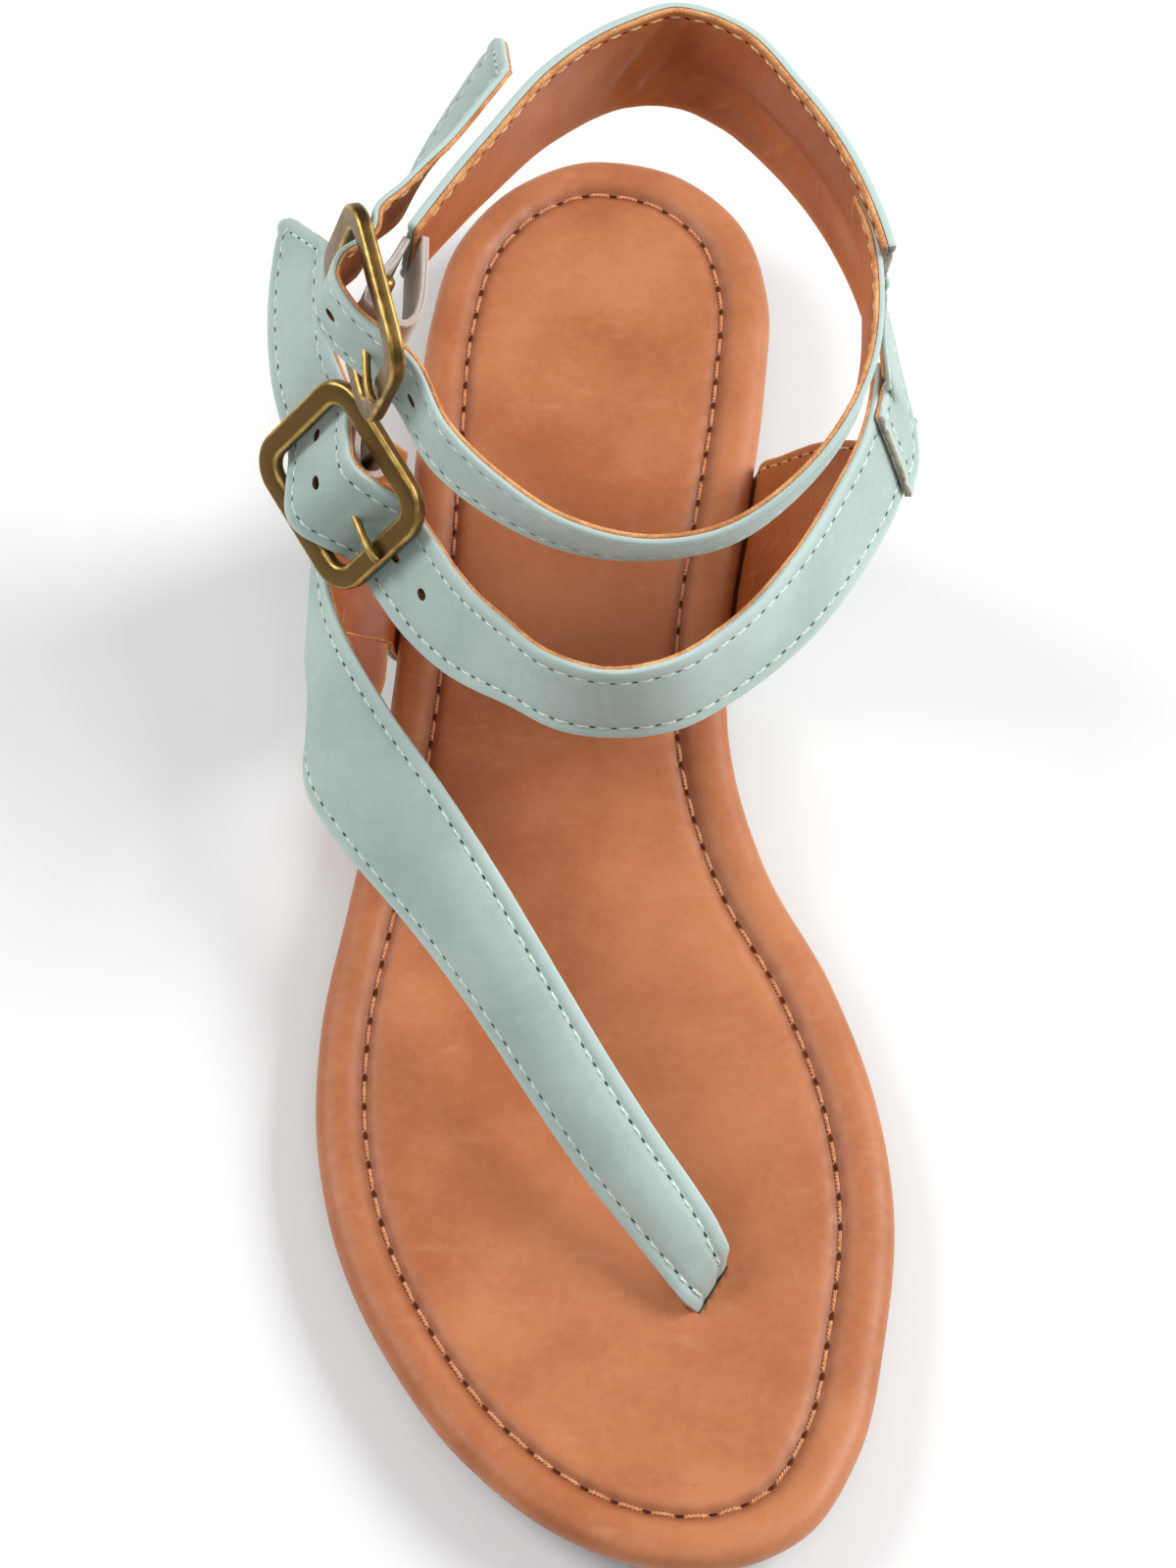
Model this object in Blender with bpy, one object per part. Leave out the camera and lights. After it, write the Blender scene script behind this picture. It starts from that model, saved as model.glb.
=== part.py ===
"""Flat ankle strap sandal for the right foot.

An outsole carries a padded footbed. Two leather uppers rise from the seam between them and are
closed by two centre-bar buckles on the outer side of the ankle. Tables are in millimetres: the toe
points to -Y, the big toe side is +X and the floor is z = 0.
"""

import math

import bmesh
import bpy
import numpy as np

MM = 0.001
ORIGIN = np.array([-1.95, 0.7, 0.0])

LEATHER_THICK = 2.0
FLANGE_THICK = 1.5
TAB_THICK = 1.2
TAB_WIDTH = 14.0
FIT_GAP = 0.3
LAP = 1.0
STRAP_STEP = 2.2
WELD = 0.000002
HOLE_SIDES = 6
CURVE_POINTS = 1200
FOOT_POINTS = 400
STRAP_POINTS = 600
OUTER_SECTIONS = 58
OUTER_ACROSS = 7
FLANGE_SECTIONS = 14
INNER_SECTIONS = 18
INNER_ACROSS = 9
INNER_TAB_SECTIONS = 16
TAB_SECTIONS = 34
TOE_SLOT_SECTIONS = 9
RECESS_COLUMNS = 8
KNEE_SHARE = 0.02
SEWN_SHARE = 0.55

FOOTBED_THICK = 5.5
LOOP_POINTS = 88
FILL_POINTS = 3
DISH_DEPTH = 0.8
DISH_WIDTH = 45.0

BUCKLE_LENGTH = 28.0
BUCKLE_HEIGHT = 26.4
BUCKLE_BAR_WIDTH = 3.8
BUCKLE_BAR_THICK = 2.4
BUCKLE_CORNER = 4.4
CENTRE_BAR_RADIUS = 1.1
CENTRE_BAR_DROP = 1.5
CENTRE_BAR_SIDES = 12
BUCKLE_BEVEL_SHARE = 0.55
BUCKLE_CORNER_STEPS = 4
PRONG_RADIUS = 0.65
PRONG_WRAP = 2.0
PRONG_WRAP_START = -55.0
PRONG_WRAP_TURN = -215.0
PRONG_WRAP_STEPS = 12
PRONG_SIDES = 8
PRONG_HOLE_SIDES = 10
SLOT_HALF_LENGTH = 3.7
SLOT_HALF_WIDTH = 2.0

# Outline of the footbed seen from above, toe tip to heel back on each side: x, y.
OUTER_SIDE = (
    (13.4, -124.0), (3.5, -122.6), (-6.3, -118.4), (-20.0, -107.5), (-31.0, -92.8),
    (-39.4, -75.5), (-43.5, -57.0), (-43.5, -37.0), (-40.0, -17.0), (-34.8, 12.0),
    (-32.2, 40.0), (-30.8, 68.0), (-29.1, 91.0), (-24.6, 108.0), (-14.2, 120.4), (-0.8, 125.4),
)
INNER_SIDE = (
    (13.4, -124.0), (21.5, -122.6), (29.0, -118.6), (37.0, -106.6), (41.8, -88.0), (44.0, -69.0),
    (42.0, -50.0), (35.8, -30.4), (26.0, -10.7), (20.8, 9.0), (20.8, 31.0), (24.0, 52.0),
    (27.6, 78.0), (28.5, 97.0), (24.4, 111.6), (13.4, 122.2), (-0.8, 125.4),
)
# Height of the footbed's rim along the foot: y, z.
BED_PROFILE = (
    (-130.0, 15.8), (-124.0, 15.0), (-100.0, 12.2), (-74.0, 10.9), (-37.0, 10.6), (-10.0, 11.8),
    (12.0, 13.9), (45.0, 16.2), (74.0, 17.0), (130.0, 17.0),
)
# Height of the walking surface along the foot: y, z.
FLOOR_PROFILE = (
    (-130.0, 6.8), (-124.0, 5.6), (-104.0, 1.6), (-84.0, 0.0), (2.0, 0.0), (16.0, 3.8),
    (50.0, 4.2), (60.0, 0.0), (118.0, 0.0), (126.0, 0.9),
)
# Section of the footbed's rim: inset from the outline, height above the rim.
BED_RIM = (
    (11.0, -5.5), (2.0, -5.5), (0.6, -4.8), (0.0, -3.6), (0.1, -2.0), (0.9, -0.7), (2.4, 0.0),
    (5.0, 0.1), (8.5, -0.5), (12.5, -0.7),
)
# Section of the outsole's edge: inset from the outline, height share, and its base (0 floor, 1 top).
SOLE_EDGE = (
    (12.0, 0.0, 0), (3.6, 0.0, 0), (2.4, 0.4, 0), (1.6, 1.4, 0), (1.1, -0.9, 1), (1.6, 0.0, 1),
    (12.0, 0.0, 1),
)

# Strap rows: x, y, z, width, lean in degrees (positive leans the top edge outward).
UPPER_STRAP = (
    (37.1, 56.0, 89.3, 16.0, -3.0), (38.9, 49.1, 88.6, 16.0, 0.0), (39.3, 42.0, 87.9, 16.0, 3.0),
    (37.7, 29.4, 86.4, 16.0, 8.0), (27.8, 14.6, 82.2, 16.0, 16.0), (17.8, 8.7, 78.5, 16.0, 22.0),
    (7.6, 7.1, 77.3, 16.0, 24.0), (-4.7, 9.5, 77.0, 16.0, 17.0), (-13.7, 14.6, 77.4, 16.0, 9.0),
    (-23.4, 22.8, 79.6, 16.0, 0.0),
)
UPPER_FREE_END = (
    (-29.6, 59.4, 90.2, 16.0, -18.0), (-25.0, 67.0, 91.5, 16.0, -30.0),
    (-19.4, 76.0, 93.0, 16.0, -36.0), (-14.4, 84.0, 94.4, 16.0, -38.0),
)
LOWER_STRAP = (
    (45.4, 49.2, 55.0, 16.0, -27.0), (44.4, 42.6, 55.4, 16.0, -25.0), (42.4, 34.6, 56.0, 16.0, -25.0),
    (37.9, 24.8, 56.1, 16.0, -24.0), (29.9, 11.7, 56.5, 16.0, -20.0), (19.5, 0.5, 56.9, 16.0, -13.0),
    (10.1, -5.7, 57.1, 16.0, -10.0), (1.1, -6.9, 56.7, 16.0, -7.5), (-6.6, -4.3, 55.3, 16.0, -8.5),
    (-14.7, 3.3, 51.8, 16.0, -14.0), (-23.2, 13.0, 46.7, 16.4, -27.0),
)
LOWER_FREE_END = (
    (-46.8, 56.0, 53.6, 16.0, -36.0), (-47.8, 68.0, 55.4, 16.0, -38.0), (-46.8, 79.5, 57.0, 16.0, -40.0),
)
HEEL_STRAP = (
    (-28.4, 51.0, 88.0, 16.0, -11.0), (-24.7, 56.3, 88.4, 18.0, -11.0), (-17.3, 65.6, 90.0, 20.0, -10.0),
    (-7.4, 76.8, 91.2, 20.0, -6.0), (4.0, 83.6, 92.0, 20.0, -1.0), (11.1, 84.6, 92.2, 20.0, 7.0),
    (18.7, 81.2, 92.2, 20.0, 10.0), (27.2, 72.0, 91.3, 20.0, 7.0), (34.8, 60.2, 90.1, 20.0, 5.0),
    (39.0, 50.0, 88.9, 20.0, 4.0), (40.2, 45.6, 88.4, 20.0, 4.0),
)
END_SKEW = 6.0
END_SKEW_RUN = 15.0

# Strap rows where it threads a buckle: run along it, shift across it, height off its plane, width.
UPPER_THREAD = (
    (9.8, 0.0, -2.8, 16.0), (5.2, 0.0, 0.9, 16.0), (0.5, 0.0, 3.8, 16.0), (-3.8, 0.0, 4.8, 16.0),
    (-6.8, 0.0, 2.8, 16.0), (-8.2, 0.0, -0.4, 16.0), (-9.7, 0.0, -2.7, 16.0), (-12.2, 0.0, -3.9, 16.0),
)
LOWER_THREAD = (
    (13.6, 0.0, -2.7, 16.6), (9.8, -0.3, -2.9, 17.0), (5.2, -0.4, 0.9, 17.3), (0.0, -1.0, 3.4, 18.2),
    (-5.2, -0.4, 0.9, 17.3), (-9.8, -0.3, -3.0, 17.0),
)
PRONG_PATH = ((1.2, 0.6), (3.0, 0.8), (6.4, 1.25), (9.8, 1.95), (12.1, 2.2), (13.7, 1.95))
HOLE_PATH = ((1.0, 0.6), (3.0, 0.8), (6.4, 1.25), (9.8, 2.0), (11.5, 2.7))

# Tab loops round a centre bar: run along the buckle, height off its plane.
UPPER_TAB = (
    (-8.0, -7.4), (-4.6, -4.2), (-1.6, -0.3), (0.0, 0.5), (1.4, -0.1), (2.1, -1.5), (4.2, -2.4),
    (5.0, -3.9), (4.4, -5.3), (2.3, -6.8), (-1.6, -8.3), (-5.0, -9.3), (-7.8, -10.1),
)
LOWER_TAB = (
    (-11.0, -7.4), (-6.5, -4.4), (-1.6, -0.3), (0.0, 0.5), (1.4, -0.1), (2.0, -1.5), (1.9, -3.4),
    (0.4, -5.2), (-4.2, -7.4), (-11.2, -9.6),
)
LOWER_TAB_SHIFT = -1.0

# Buckle places: centre, then the directions along the strap (to the front), up and outward.
UPPER_BUCKLE = ((-35.0, 41.8, 86.2), (0.253, -0.926, -0.279), (0.239, -0.22, 0.946))
LOWER_BUCKLE = ((-40.4, 36.0, 49.2), (0.521, -0.804, -0.287), (0.59, 0.096, 0.802))

# Toe strap rows from its end in the footbed: upper edge, middle, lower edge.
TOE_STRAP = (
    ((17.6, -76.9, 6.6), (15.9, -80.3, 6.4), (14.2, -83.6, 6.4)),
    ((17.8, -76.6, 13.0), (15.6, -80.2, 11.6), (13.4, -84.0, 10.6)),
    ((17.9, -76.0, 18.2), (15.2, -80.0, 15.6), (12.6, -84.0, 12.6)),
    ((16.6, -73.6, 19.8), (13.3, -77.6, 17.4), (10.2, -81.4, 13.9)),
    ((13.4, -69.0, 21.6), (9.2, -73.2, 20.0), (4.5, -74.6, 16.2)),
    ((8.0, -62.0, 25.0), (2.6, -65.4, 23.4), (-2.8, -65.8, 19.2)),
    ((0.7, -51.3, 29.0), (-5.6, -53.4, 27.2), (-11.4, -53.6, 22.2)),
    ((-6.2, -40.1, 32.4), (-13.4, -41.4, 30.2), (-19.2, -41.8, 24.2)),
    ((-16.1, -22.9, 35.0), (-24.4, -24.6, 32.0), (-30.2, -26.6, 25.2)),
    ((-24.8, -8.6, 36.0), (-33.6, -10.4, 32.4), (-39.6, -14.8, 25.2)),
    ((-31.8, 2.2, 36.0), (-40.4, -0.6, 32.0), (-45.2, -5.2, 24.4)),
    ((-37.0, 11.3, 36.0), (-44.6, 8.0, 30.0), (-45.4, 7.6, 20.0)),
)
# Outer quarter rows behind the toe strap: upper edge, middle, then the place along the sole.
OUTER_QUARTER = (
    ((-40.3, 18.6, 35.0), (-46.2, 17.6, 26.5), 20.0),
    ((-42.7, 26.0, 34.6), (-46.0, 26.0, 27.0), 28.0),
    ((-43.6, 34.0, 37.2), (-45.6, 35.6, 28.0), 37.0),
    ((-43.6, 42.0, 43.6), (-44.8, 46.0, 30.0), 46.0),
    ((-42.8, 50.0, 47.4), (-42.6, 54.6, 31.0), 56.0),
    ((-42.0, 56.4, 47.0), (-37.6, 61.0, 29.0), 64.0),
)
# Section of a quarter where it turns from the seam round the footbed: out of the outline, above the seam.
QUARTER_FOOT = ((-9.0, -1.3), (-2.2, -1.3), (0.35, -0.35), (1.35, 2.0), (1.6, 4.2))
# Inner quarter rows from the rear: place along the sole, middle, run along the lower strap.
INNER_QUARTER = (
    (62.0, (36.2, 55.4, 32.0), 1.5),
    (50.0, (35.4, 47.4, 31.0), 12.0),
    (37.0, (33.0, 35.4, 31.0), 23.0),
    (24.0, (29.4, 22.0, 33.0), 34.0),
)
# Inner tab rows above the lower strap: front edge, rear edge.
INNER_TAB = (
    ((42.4, 41.4, 71.0), (45.0, 51.4, 61.4)),
    ((41.4, 43.4, 79.0), (42.0, 54.8, 72.6)),
    ((40.8, 47.2, 87.0), (38.4, 56.2, 84.0)),
)
INNER_TAB_RUNS = (12.4, 6.4)
# Lower end of the inner tab: share across the lower strap, slant along it.
INNER_TAB_SLANT = ((1.0, -0.8), (0.5, 0.4), (0.0, 2.0))

# Finishes: colour, roughness, metallic.
LEATHER_FINISH = ((0.52, 0.66, 0.63), 0.6, 0.0)
FOOTBED_FINISH = ((0.56, 0.27, 0.14), 0.5, 0.0)
RUBBER_FINISH = ((0.16, 0.10, 0.07), 0.8, 0.0)
BRASS_FINISH = ((0.45, 0.33, 0.14), 0.35, 1.0)


def clear_scene():
    """Remove every object of the start scene."""
    for item in list(bpy.data.objects):
        bpy.data.objects.remove(item, do_unlink=True)


def finish(name, colour, roughness, metallic):
    """Return a plain material."""
    mat = bpy.data.materials.new(name)
    mat.use_nodes = True
    shader = mat.node_tree.nodes["Principled BSDF"]
    shader.inputs["Base Color"].default_value = (*colour, 1.0)
    shader.inputs["Roughness"].default_value = roughness
    shader.inputs["Metallic"].default_value = metallic
    return mat


def spline(rows, count):
    """Smooth curve through rows by chord length of their first three columns."""
    rows = np.asarray(rows, float)
    chord = np.linalg.norm(np.diff(rows[:, :3], axis=0), axis=1)
    knots = np.concatenate([[0.0], np.cumsum(chord)])
    seg = np.diff(rows, axis=0) / chord[:, None]
    slope = np.empty_like(rows)
    slope[0] = seg[0]
    slope[-1] = seg[-1]
    if len(rows) > 2:
        before = chord[:-1, None]
        after = chord[1:, None]
        slope[1:-1] = (seg[:-1] * after + seg[1:] * before) / (before + after)
        slope[0] = 1.5 * seg[0] - 0.5 * slope[1]
        slope[-1] = 1.5 * seg[-1] - 0.5 * slope[-2]
    run = np.linspace(0.0, knots[-1], count)
    at = np.clip(np.searchsorted(knots, run, side="right") - 1, 0, len(chord) - 1)
    step = chord[at][:, None]
    f = (run - knots[at])[:, None] / step
    value = rows[at] * (2 * f**3 - 3 * f**2 + 1) + rows[at + 1] * (3 * f**2 - 2 * f**3)
    return value + step * (slope[at] * (f**3 - 2 * f**2 + f) + slope[at + 1] * (f**3 - f**2))


def length_of(points):
    """Length of a polyline."""
    return float(np.linalg.norm(np.diff(points[:, :3], axis=0), axis=1).sum())


def even(points, count):
    """Resample a polyline at even steps."""
    chord = np.linalg.norm(np.diff(points[:, :3], axis=0), axis=1)
    knots = np.concatenate([[0.0], np.cumsum(chord)])
    run = np.linspace(0.0, knots[-1], count)
    return np.stack([np.interp(run, knots, points[:, k]) for k in range(points.shape[1])], axis=1)


def unit(vectors):
    """Scale vectors to length one."""
    return vectors / np.linalg.norm(vectors, axis=-1, keepdims=True)


def tangents(points):
    """Directions along a polyline."""
    return unit(np.gradient(points, axis=0))


def profile(table, y):
    """Height from a profile table."""
    table = np.asarray(table)
    return np.interp(y, table[:, 0], table[:, 1])


def half_outline(side, count):
    """One side of the outline as even points from toe tip to heel back."""
    rows = np.array([(x, y, 0.0) for x, y in side])
    start = np.array([[2 * rows[0, 0] - rows[1, 0], rows[1, 1], 0.0]])
    stop = np.array([[2 * rows[-1, 0] - rows[-2, 0], rows[-2, 1], 0.0]])
    curve = spline(np.concatenate([start, rows, stop]), CURVE_POINTS)
    first = np.argmin(np.linalg.norm(curve - rows[0], axis=1))
    last = np.argmin(np.linalg.norm(curve - rows[-1], axis=1))
    return even(curve[first:last + 1], count)[:, :2]


def outline():
    """Closed outline: toe tip, outer side, heel back, inner side."""
    half = LOOP_POINTS // 2 + 1
    outer = half_outline(OUTER_SIDE, half)
    inner = half_outline(INNER_SIDE, half)
    return np.concatenate([outer, inner[::-1][1:-1]])


def inset(loop, distance):
    """Closed loop moved inward by a distance."""
    along = unit(np.roll(loop, -1, axis=0) - np.roll(loop, 1, axis=0))
    return loop + distance * np.stack([along[:, 1], -along[:, 0]], axis=1) * inset_sign(loop)


def inset_sign(loop):
    """Sign that turns the loop's side normal inward."""
    x, y = loop[:, 0], loop[:, 1]
    area = np.sum(x * np.roll(y, -1) - y * np.roll(x, -1))
    return -1.0 if area > 0 else 1.0


def fill_rows(loop, height, first):
    """Rows of points across a loop; returns new points and the index rows."""
    half = LOOP_POINTS // 2
    points = []
    rows = [[0]]
    for i in range(1, half):
        left, right = loop[i], loop[LOOP_POINTS - i]
        width = np.linalg.norm(right - left)
        row = [i]
        for k in range(1, FILL_POINTS + 1):
            share = k / (FILL_POINTS + 1)
            x, y = left + (right - left) * share
            points.append((x, y, height(y, share, width)))
            row.append(first + len(points) - 1)
        row.append(LOOP_POINTS - i)
        rows.append(row)
    rows.append([half])
    return points, rows


def row_faces(rows, start, reserved):
    """Faces between the rows of a filled loop whose ring begins at start."""
    def index(k):
        return k if k >= reserved else start + k

    faces = []
    for a, b in zip(rows, rows[1:]):
        a = [index(k) for k in a]
        b = [index(k) for k in b]
        if len(a) == 1:
            faces.extend((a[0], b[k], b[k + 1]) for k in range(len(b) - 1))
        elif len(b) == 1:
            faces.extend((a[k], b[0], a[k + 1]) for k in range(len(a) - 1))
        else:
            faces.extend((a[k], b[k], b[k + 1], a[k + 1]) for k in range(len(a) - 1))
    return faces


def pad(name, rings, low, high, mat):
    """Solid from rings of equal point count, closed by filled rows below and above."""
    count = len(rings)
    points = [tuple(p) for ring in rings for p in ring]
    faces = []
    for r in range(count - 1):
        for k in range(LOOP_POINTS):
            a = r * LOOP_POINTS + k
            b = r * LOOP_POINTS + (k + 1) % LOOP_POINTS
            faces.append((a, b, b + LOOP_POINTS, a + LOOP_POINTS))
    reserved = count * LOOP_POINTS
    for ring, start, height in ((rings[0], 0, low), (rings[-1], (count - 1) * LOOP_POINTS, high)):
        more, rows = fill_rows(np.asarray(ring)[:, :2], height, len(points))
        points.extend(more)
        faces.extend(row_faces(rows, start, reserved))
    return solid(name, points, faces, mat)


def solid(name, points, faces, mat):
    """Mesh object from points in millimetres with its faces turned outward."""
    mesh = bpy.data.meshes.new(name)
    placed = (np.asarray(points, float) - ORIGIN) * MM
    mesh.from_pydata([tuple(p) for p in placed], [], faces)
    work = bmesh.new()
    work.from_mesh(mesh)
    bmesh.ops.recalc_face_normals(work, faces=work.faces)
    bmesh.ops.triangulate(work, faces=work.faces)
    work.to_mesh(mesh)
    work.free()
    item = bpy.data.objects.new(name, mesh)
    bpy.context.scene.collection.objects.link(item)
    mesh.materials.append(mat)
    return item


def combine(item, tools, operation):
    """Apply exact Booleans of the tools to an object and remove the tools."""
    for tool in tools:
        tool.hide_render = True
        tool.display_type = "WIRE"
        step = item.modifiers.new(operation, "BOOLEAN")
        step.operation = operation
        step.solver = "EXACT"
        step.object = tool
    bpy.context.view_layer.update()
    shaped = bpy.data.meshes.new_from_object(item.evaluated_get(bpy.context.evaluated_depsgraph_get()))
    item.modifiers.clear()
    item.data = shaped
    work = bmesh.new()
    work.from_mesh(shaped)
    bmesh.ops.remove_doubles(work, verts=work.verts, dist=WELD)
    bmesh.ops.dissolve_degenerate(work, edges=work.edges, dist=WELD)
    bmesh.ops.holes_fill(work, edges=[edge for edge in work.edges if edge.is_boundary], sides=HOLE_SIDES)
    bmesh.ops.triangulate(work, faces=work.faces)
    work.to_mesh(shaped)
    work.free()
    for tool in tools:
        bpy.data.objects.remove(tool, do_unlink=True)
    return item


def sheet(name, grid, thick, mat):
    """Closed sheet of even thickness about a grid of middle points."""
    grid = np.asarray(grid, float)
    rows, cols = grid.shape[:2]
    normal = unit(np.cross(np.gradient(grid, axis=0), np.gradient(grid, axis=1)))
    offset = normal * thick / 2
    points = np.concatenate([(grid + offset).reshape(-1, 3), (grid - offset).reshape(-1, 3)])
    half = rows * cols
    faces = []
    for r in range(rows - 1):
        for c in range(cols - 1):
            a = r * cols + c
            faces.append((a, a + 1, a + cols + 1, a + cols))
            faces.append((half + a, half + a + cols, half + a + cols + 1, half + a + 1))
    rim = list(range(cols))
    rim += [r * cols + cols - 1 for r in range(1, rows)]
    rim += [(rows - 1) * cols + c for c in range(cols - 2, -1, -1)]
    rim += [r * cols for r in range(rows - 2, 0, -1)]
    for a, b in zip(rim, rim[1:] + rim[:1]):
        faces.append((a, half + a, half + b, b))
    return solid(name, points, faces, mat)


def leaned(rows):
    """Strap rows with the lean turned into a direction across the strap."""
    rows = np.asarray(rows, float)
    along = tangents(rows[:, :3])
    outward = unit(np.cross((0.0, 0.0, 1.0), along))
    upward = np.cross(along, outward)
    lean = np.radians(rows[:, 4])[:, None]
    across = np.cos(lean) * upward + np.sin(lean) * outward
    return np.concatenate([rows[:, :4], across], axis=1)


def axes(buckle):
    """Centre and the three unit directions of a buckle."""
    centre, along, upward = (np.array(v, float) for v in buckle)
    along = unit(along)
    upward = unit(upward - along * np.dot(along, upward))
    return centre, along, upward, np.cross(along, upward)


def placed(buckle, u, v, n):
    """Point given in a buckle's own directions."""
    centre, along, upward, outward = axes(buckle)
    return centre + u * along + v * upward + n * outward


def threaded(before, buckle, thread, after):
    """Strap rows before a buckle, through it and behind it, in one list."""
    upward = axes(buckle)[2]
    through = [(*placed(buckle, u, v, n), width, 0.0) for u, v, n, width in thread]
    path = np.concatenate([before, through, after])
    rows = leaned(path)
    rows[len(before):len(before) + len(through), 4:] = upward
    return rows


def strap_grid(rows, skew=0.0):
    """Grid of middle points of a strap: sections along it, three points across."""
    dense = spline(rows, STRAP_POINTS)
    count = max(4, int(round(length_of(dense) / STRAP_STEP)))
    path = even(dense, count)
    points = path[:, :3]
    along = tangents(points)
    across = path[:, 4:] - along * np.sum(along * path[:, 4:], axis=1, keepdims=True)
    across = unit(across) * path[:, 3:4]
    left = np.linspace(length_of(points), 0.0, count)
    slant = skew * np.clip(1.0 - left / END_SKEW_RUN, 0.0, 1.0)[:, None] ** 2 * along
    return np.stack([points - across / 2 + slant, points, points + across / 2 - slant], axis=1)


def lower_grid():
    """Grid of middle points of the lower ankle strap."""
    return strap_grid(threaded(LOWER_STRAP, LOWER_BUCKLE, LOWER_THREAD, LOWER_FREE_END), END_SKEW)


def on_strap(grid, run, share, lift):
    """Point of a strap at a run along it, a share across and a lift off its middle."""
    steps = np.linalg.norm(np.diff(grid[:, 1], axis=0), axis=1)
    runs = np.concatenate([[0.0], np.cumsum(steps)])
    at = int(np.searchsorted(runs, run, side="right")) - 1
    f = (run - runs[at]) / steps[at]
    low = grid[at] * (1 - f) + grid[at + 1] * f
    along = grid[at + 1][1] - grid[at][1]
    across = low[2] - low[0]
    normal = unit(np.cross(across, along)) * -1.0
    return low[0] + across * share + normal * lift


def tab_grid(buckle, path, shift):
    """Loop of a tab round the centre bar of a buckle."""
    curve = spline([(u, n, 0.0) for u, n in path], TAB_SECTIONS)
    rows = []
    for u, n, _ in curve:
        rows.append([placed(buckle, u, shift + v * TAB_WIDTH / 2, n) for v in (-1.0, 0.0, 1.0)])
    return np.array(rows)


def slot(buckle, mat):
    """Block that opens a tab for the prong."""
    reach = SLOT_HALF_LENGTH
    corners = []
    for u in (-reach, reach):
        for v in (-SLOT_HALF_WIDTH, SLOT_HALF_WIDTH):
            for n in (-reach - CENTRE_BAR_DROP, reach):
                corners.append(placed(buckle, u, v, n))
    faces = [(0, 1, 3, 2), (4, 6, 7, 5), (0, 4, 5, 1), (2, 3, 7, 6), (0, 2, 6, 4), (1, 5, 7, 3)]
    return solid("slot", corners, faces, mat)


def tube(name, path, across, radius, sides, mat):
    """Round bar along a path that stays square to one direction."""
    path = np.asarray(path, float)
    along = tangents(path)
    side = np.cross(along, across)
    points = []
    for centre, normal in zip(path, unit(side)):
        for k in range(sides):
            turn = 2 * math.pi * k / sides
            points.append(centre + radius * (math.cos(turn) * normal + math.sin(turn) * np.asarray(across)))
    faces = []
    for r in range(len(path) - 1):
        for k in range(sides):
            a = r * sides + k
            b = r * sides + (k + 1) % sides
            faces.append((a, b, b + sides, a + sides))
    faces.append(tuple(range(sides)))
    faces.append(tuple(len(points) - 1 - k for k in range(sides)))
    return solid(name, points, faces, mat)


def rounded_loop(length, height, corner, steps):
    """Rounded rectangle about the origin with the outward direction of each point."""
    loop = []
    for su, sv, first in ((1, 1, 0.0), (-1, 1, 0.5), (-1, -1, 1.0), (1, -1, 1.5)):
        for k in range(steps + 1):
            turn = math.pi * (first + 0.5 * k / steps)
            direction = (math.cos(turn), math.sin(turn))
            u = su * (length / 2 - corner) + corner * direction[0]
            v = sv * (height / 2 - corner) + corner * direction[1]
            loop.append(((u, v), direction))
    return loop


def buckle_frame(name, buckle, mat):
    """Rounded square frame with a centre bar."""
    half_wide = BUCKLE_BAR_WIDTH / 2
    half_thick = BUCKLE_BAR_THICK / 2
    bevel = half_thick * BUCKLE_BEVEL_SHARE
    section = (
        (-half_wide, -half_thick + bevel), (-half_wide, half_thick - bevel),
        (-half_wide + bevel, half_thick), (half_wide - bevel, half_thick),
        (half_wide, half_thick - bevel), (half_wide, -half_thick + bevel),
        (half_wide - bevel, -half_thick), (-half_wide + bevel, -half_thick),
    )
    length = BUCKLE_LENGTH - BUCKLE_BAR_WIDTH
    height = BUCKLE_HEIGHT - BUCKLE_BAR_WIDTH
    loop = rounded_loop(length, height, BUCKLE_CORNER, BUCKLE_CORNER_STEPS)
    points = []
    for (u, v), direction in loop:
        for out, n in section:
            points.append(placed(buckle, u + out * direction[0], v + out * direction[1], n))
    sides = len(section)
    faces = []
    for r in range(len(loop)):
        for k in range(sides):
            a = r * sides + k
            b = r * sides + (k + 1) % sides
            c = (r + 1) % len(loop) * sides
            faces.append((a, b, c + (k + 1) % sides, c + k))
    frame = solid(name, points, faces, mat)
    reach = BUCKLE_HEIGHT / 2 - half_wide
    ends = [placed(buckle, 0.0, v, -CENTRE_BAR_DROP) for v in (-reach, reach)]
    bar = tube("bar", ends, axes(buckle)[1], CENTRE_BAR_RADIUS, CENTRE_BAR_SIDES, mat)
    return combine(frame, [bar], "UNION")


def prong_path(buckle):
    """Prong from its wrap round the centre bar to its tip on the front bar."""
    path = []
    for k in range(PRONG_WRAP_STEPS + 1):
        turn = math.radians(PRONG_WRAP_START + PRONG_WRAP_TURN * k / PRONG_WRAP_STEPS)
        path.append((PRONG_WRAP * math.cos(turn), PRONG_WRAP * math.sin(turn) - CENTRE_BAR_DROP))
    path.extend(PRONG_PATH)
    return [placed(buckle, u, 0.0, n) for u, n in path]


def prong(name, buckle, mat):
    """Round wire prong."""
    return tube(name, prong_path(buckle), axes(buckle)[2], PRONG_RADIUS, PRONG_SIDES, mat)


def prong_hole(buckle, mat):
    """Cutter for the strap hole that the prong passes."""
    path = [placed(buckle, u, 0.0, n) for u, n in HOLE_PATH]
    return tube("hole", path, axes(buckle)[2], PRONG_RADIUS + FIT_GAP, PRONG_HOLE_SIDES, mat)


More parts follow.
